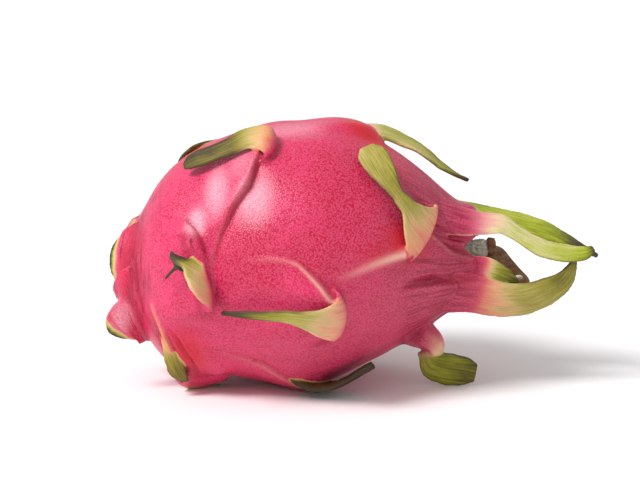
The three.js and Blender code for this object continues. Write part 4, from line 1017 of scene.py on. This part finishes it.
# ---- The withered flower -----------------------------------------------------------------------------------
# The flower's stump: x and radius. Its strap and the curl at its end: paths written as the scales' are.
FLOWER_STUMP = [
    (54.4, 0), (54.4, 3.2), (57, 4.2), (62, 4.6), (66, 4.2), (69.6, 4.8), (70.6, 4.2), (71.2, 5.2), (73.6, 5),
    (73.8, 2.6), (70, 1.8), (70, 0),
]
FLOWER_STRAP = [
    (70, 70, -13, 5, 1.6, 20, 0), (74, 84, -11.4, 5.4, 1.4, 20, 0), (76.6, 112, -10.4, 5.4, 1.3, 20, 0),
    (80, 136, -8, 5.4, 1.2, 20, 0), (83, 148, -5.2, 5.4, 1.1, 20, 0), (84, 154, -2.6, 3.4, 1, 20, 0),
]
FLOWER_CURL = [
    (82.4, 134, -5.6, 1.2, 1, 20, 0), (81.4, 126, -4.6, 1.4, 1, 20, 0), (80, 124, -3.8, 1.5, 1, 20, 0),
    (79.4, 132, -3.4, 1.5, 1, 20, 0), (80.2, 142, -3, 1.4, 1, 20, 0), (81.2, 149, -2.6, 1, 0.8, 20, 0),
]
STUMP_ROWS = 90             # facets of the stump along its outline
STUMP_SPOKES = 120          # and round its axis
FLUTE_COUNT = 13            # folds round the stump
FLUTE_DEPTH = 0.25
CRUMPLE = (0.25, 1.8)       # height and size of the stump's crumples
TUBE_SPAN = (70.4, 71.2)    # between these x the stump's tone turns to its tube's
TEPAL_LENGTH = 6.4
TEPAL_WIDTH = 3
TEPAL_ROWS = 26             # facets of a tepal along its length
TEPAL_SIDES = 12            # and round it
TEPAL_COUNT = 17
TEPAL_RING = (65.4, 3.6)    # x and radius
TEPAL_SEED = 4
# How far chance moves, turns and sizes each tepal, lowest and highest: its angle round the axis, its place
# out from it and along it in metres, its own three turns and its size.
TEPAL_CHANCE = [
    ("angle", -0.12, 0.12), ("out", -0.0004, 0.0004), ("along", -0.0016, 0.0008), ("roll", -0.5, 0.5),
    ("tip", -0.12, 0.3), ("swing", -0.2, 0.2), ("size", 0.7, 1.05),
]
FLOWER_TONES = dict(stump=0.14, tube=0.8, strap=0.66, curl=0, tepal=0.06)


def toned(source, tone):
    """A source with one tone of dried tissue all over."""
    points, faces, _ = source
    return points, faces, dict(tone=np.stack([np.full(len(points), tone)] * 3, axis=1))


def stump_source():
    """The flower's stump: a fluted and crumpled body of revolution, with the brown tube at its end."""
    corners = np.array(FLOWER_STUMP, float)
    steps = np.linspace(0.04, len(corners) - 1.04, STUMP_ROWS)
    row_x, row_radius = (np.interp(steps, np.arange(len(corners)), corners[:, k]) for k in (0, 1))
    turns = np.arange(STUMP_SPOKES) * 360 / STUMP_SPOKES
    x, clock = [part.ravel() for part in np.meshgrid(row_x, turns, indexing="ij")]
    radius = np.repeat(row_radius, STUMP_SPOKES)
    angle = np.radians(clock)
    flutes = FLUTE_DEPTH * np.cos(FLUTE_COUNT * angle + np.sin(x * 0.8))
    radius = radius + flutes * smoothstep(radius, 1, 4)
    points = np.stack([x, -radius * np.sin(angle), AXIS_HEIGHT + radius * np.cos(angle)], axis=-1)
    points += CRUMPLE[0] * np.stack([bumps(points, CRUMPLE[1], seed) for seed in (3, 4, 5)], axis=1)
    tone = FLOWER_TONES["stump"] + (FLOWER_TONES["tube"] - FLOWER_TONES["stump"]) * smoothstep(x, *TUBE_SPAN)
    ends = [np.array([FLOWER_STUMP[end][0], 0, AXIS_HEIGHT]) for end in (0, -1)]
    return closed_rings(points, STUMP_SPOKES, *ends, dict(tone=np.stack([tone] * 3, axis=1)))


def tepal_source():
    """One withered tepal, lying along x with its outer face up: narrow, crumpled and curled at its end."""
    turn = np.arange(TEPAL_SIDES) * 2 * math.pi / TEPAL_SIDES
    rings = []
    for share in np.linspace(0.02, 0.98, TEPAL_ROWS):
        width = TEPAL_WIDTH / 2 * math.sin(math.pi * share ** 0.7) ** 0.6
        arch = 0.9 * math.sin(2.6 * share) + 0.25 * math.sin(9 * share)
        rings.append(np.stack([
            np.full(TEPAL_SIDES, TEPAL_LENGTH * share), width * np.cos(turn) + 0.3 * math.sin(7 * share),
            0.2 * np.sin(turn) + arch + 0.35 * np.cos(turn) ** 2 * math.sin(5 * share + 1)], axis=1))
    points = np.vstack(rings)
    root = np.mean(rings[0], axis=0) - (0.1, 0, 0)
    tip = np.mean(rings[-1], axis=0) + (0.1, 0, 0)
    return closed_rings(points, TEPAL_SIDES, root, tip, {})


def tepal_ring_tree():
    """A ring of withered tepals round the stump, each turned and sized by chance, and joined to it."""
    tree, given = geometry_tree("tepal_ring", [
        ("Tepal", "NodeSocketObject", None), ("Count", "NodeSocketInt", TEPAL_COUNT),
        ("Ring Radius", "NodeSocketFloat", TEPAL_RING[1] * MM),
        ("Ring Place", "NodeSocketFloat", TEPAL_RING[0] * MM),
        ("Axis Height", "NodeSocketFloat", AXIS_HEIGHT * MM), ("Seed", "NodeSocketInt", TEPAL_SEED),
        ("Material", "NodeSocketMaterial", None)])
    chance = {}
    for number, (name, low, high) in enumerate(TEPAL_CHANCE, start=1):
        seed = add(tree, "ShaderNodeMath", {0: given["Seed"], 1: number}, operation="ADD").outputs[0]
        chance[name] = add(tree, "FunctionNodeRandomValue", {2: low, 3: high, "Seed": seed},
                           data_type="FLOAT").outputs[1]

    index = add(tree, "GeometryNodeInputIndex").outputs[0]
    step = add(tree, "ShaderNodeMath", {0: 2 * math.pi, 1: given["Count"]}, operation="DIVIDE").outputs[0]
    angle = add(tree, "ShaderNodeMath", {0: index, 1: step}, operation="MULTIPLY").outputs[0]
    angle = add(tree, "ShaderNodeMath", {0: angle, 1: chance["angle"]}, operation="ADD").outputs[0]
    out = add(tree, "ShaderNodeMath", {0: given["Ring Radius"], 1: chance["out"]},
              operation="ADD").outputs[0]
    along = add(tree, "ShaderNodeMath", {0: given["Ring Place"], 1: chance["along"]},
                operation="ADD").outputs[0]
    sine = add(tree, "ShaderNodeMath", {0: angle}, operation="SINE").outputs[0]
    sine = add(tree, "ShaderNodeMath", {0: sine, 1: -1.0}, operation="MULTIPLY").outputs[0]
    aside = add(tree, "ShaderNodeMath", {0: sine, 1: out}, operation="MULTIPLY").outputs[0]
    cosine = add(tree, "ShaderNodeMath", {0: angle}, operation="COSINE").outputs[0]
    up = add(tree, "ShaderNodeMath", {0: cosine, 1: out}, operation="MULTIPLY").outputs[0]
    up = add(tree, "ShaderNodeMath", {0: given["Axis Height"], 1: up}, operation="ADD").outputs[0]
    place_at = add(tree, "ShaderNodeCombineXYZ", {"X": along, "Y": aside, "Z": up}).outputs[0]
    ring = add(tree, "GeometryNodePoints", {"Count": given["Count"], "Position": place_at}).outputs[0]
    round_axis = add(tree, "ShaderNodeCombineXYZ", {"X": angle}).outputs[0]
    own_turn = add(tree, "ShaderNodeCombineXYZ", {
        "X": chance["roll"], "Y": chance["tip"], "Z": chance["swing"]}).outputs[0]
    turned = add(tree, "FunctionNodeRotateRotation", {"Rotation": round_axis, "Rotate By": own_turn},
                 rotation_space="LOCAL").outputs[0]
    tepal = add(tree, "GeometryNodeObjectInfo", {"Object": given["Tepal"]}).outputs["Geometry"]
    placed = add(tree, "GeometryNodeInstanceOnPoints", {
        "Points": ring, "Instance": tepal, "Rotation": turned, "Scale": chance["size"]}).outputs[0]
    joined = add(tree, "GeometryNodeJoinGeometry")
    tree.links.new(placed, joined.inputs[0])
    tree.links.new(given["Geometry"], joined.inputs[0])
    flower = add(tree, "GeometryNodeSetShadeSmooth", {"Geometry": joined.outputs[0]}).outputs[0]
    flower = add(tree, "GeometryNodeRealizeInstances", {"Geometry": flower}).outputs[0]
    flower = add(tree, "GeometryNodeSetMaterial", {
        "Geometry": flower, "Material": given["Material"]}).outputs[0]
    add(tree, "NodeGroupOutput", {"Geometry": flower})
    return tree


def withered_flower(material):
    pieces = [
        stump_source(), toned(blade_source(FLOWER_STRAP, 0.5, 40), FLOWER_TONES["strap"]),
        toned(blade_source(FLOWER_CURL, 0, 41, strips=6), FLOWER_TONES["curl"])]
    flower = mesh_object("withered_flower_tissue", *joined_source(pieces))
    tepal = mesh_object("tepal", *toned(tepal_source(), FLOWER_TONES["tepal"]))
    grow(flower, tepal_ring_tree(), {
        "Tepal": tepal, "Count": TEPAL_COUNT, "Ring Radius": TEPAL_RING[1] * MM,
        "Ring Place": TEPAL_RING[0] * MM, "Axis Height": AXIS_HEIGHT * MM, "Seed": TEPAL_SEED,
        "Material": material})
    discard(tepal)
    return flower


# ---- The scene ---------------------------------------------------------------------------------------------
skin = fused_fruit(waxy_rind())
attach(skin, "root")
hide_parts("fruit")
flower = withered_flower(papery_flower())
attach(flower, "root")
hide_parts("withered_flower")

FLOOR_HALF = 6000          # half the floor's width, in millimetres
FLOOR_GAP = 0.2            # the floor lies this far below the fruit
SKY_STRENGTH = 0.62
WINDOW_FROM = (-0.75, -0.5, 1.05)
WINDOW_STRENGTH = 2.1
WINDOW_SPREAD = math.radians(20)
SOFTBOX_AT = (-0.55, -0.35, 0.75)    # in metres, as are the next two
SOFTBOX_TOWARDS = (0, 0, 0.05)
SOFTBOX_SIZE = 0.35
SOFTBOX_POWER = 2.2
CAMERA_TARGET = Vector((12.3, 0, 50.3)) * MM
CAMERA_DISTANCE = 640 * MM
CAMERA_ELEVATION = math.radians(10)
CAMERA_LENS = 102.6


def studio_floor():
    """Matt white paper floor: gives the eye nothing but a soft shadow."""
    material, tree = material_tree("white_paper")
    shader = add(tree, "ShaderNodeBsdfPrincipled", {"Base Color": colour("#f7f5f6"), "Roughness": 0.9})
    add(tree, "ShaderNodeOutputMaterial", {"Surface": shader.outputs[0]})
    corners = [(-1, -1), (1, -1), (1, 1), (-1, 1)]
    points = np.array([(x * FLOOR_HALF, y * FLOOR_HALF, -FLOOR_GAP) for x, y in corners])
    floor = mesh_object("floor", points, np.array([(0, 1, 2, 3)]))
    floor.data.materials.append(material)


studio_floor()
world = bpy.data.worlds.new("white_studio")
bpy.context.scene.world = world
world.use_nodes = True
sky = world.node_tree.nodes["Background"]
sky.inputs["Color"].default_value = colour("#ffffff")
sky.inputs["Strength"].default_value = SKY_STRENGTH
window = bpy.data.objects.new("window", bpy.data.lights.new("window", "SUN"))
window.data.energy = WINDOW_STRENGTH
window.data.angle = WINDOW_SPREAD
window.rotation_euler = (-Vector(WINDOW_FROM)).to_track_quat("-Z", "Y").to_euler()
bpy.context.scene.collection.objects.link(window)
softbox = bpy.data.objects.new("softbox_left", bpy.data.lights.new("softbox_left", "AREA"))
softbox.data.shape = "DISK"
softbox.data.size = SOFTBOX_SIZE
softbox.data.energy = SOFTBOX_POWER
softbox.location = SOFTBOX_AT
softbox.rotation_euler = (Vector(SOFTBOX_TOWARDS) - Vector(SOFTBOX_AT)).to_track_quat("-Z", "Y").to_euler()
bpy.context.scene.collection.objects.link(softbox)

camera = bpy.data.objects.new("camera", bpy.data.cameras.new("camera"))
bpy.context.scene.collection.objects.link(camera)
towards_camera = Vector((0, -math.cos(CAMERA_ELEVATION), math.sin(CAMERA_ELEVATION)))
camera.location = CAMERA_TARGET + CAMERA_DISTANCE * towards_camera
camera.rotation_euler = (math.radians(90) - CAMERA_ELEVATION, 0, 0)
camera.data.sensor_width = 36
camera.data.lens = CAMERA_LENS
camera.data.clip_start = 0.01
bpy.context.scene.camera = camera
bpy.context.scene.view_settings.view_transform = "Standard"
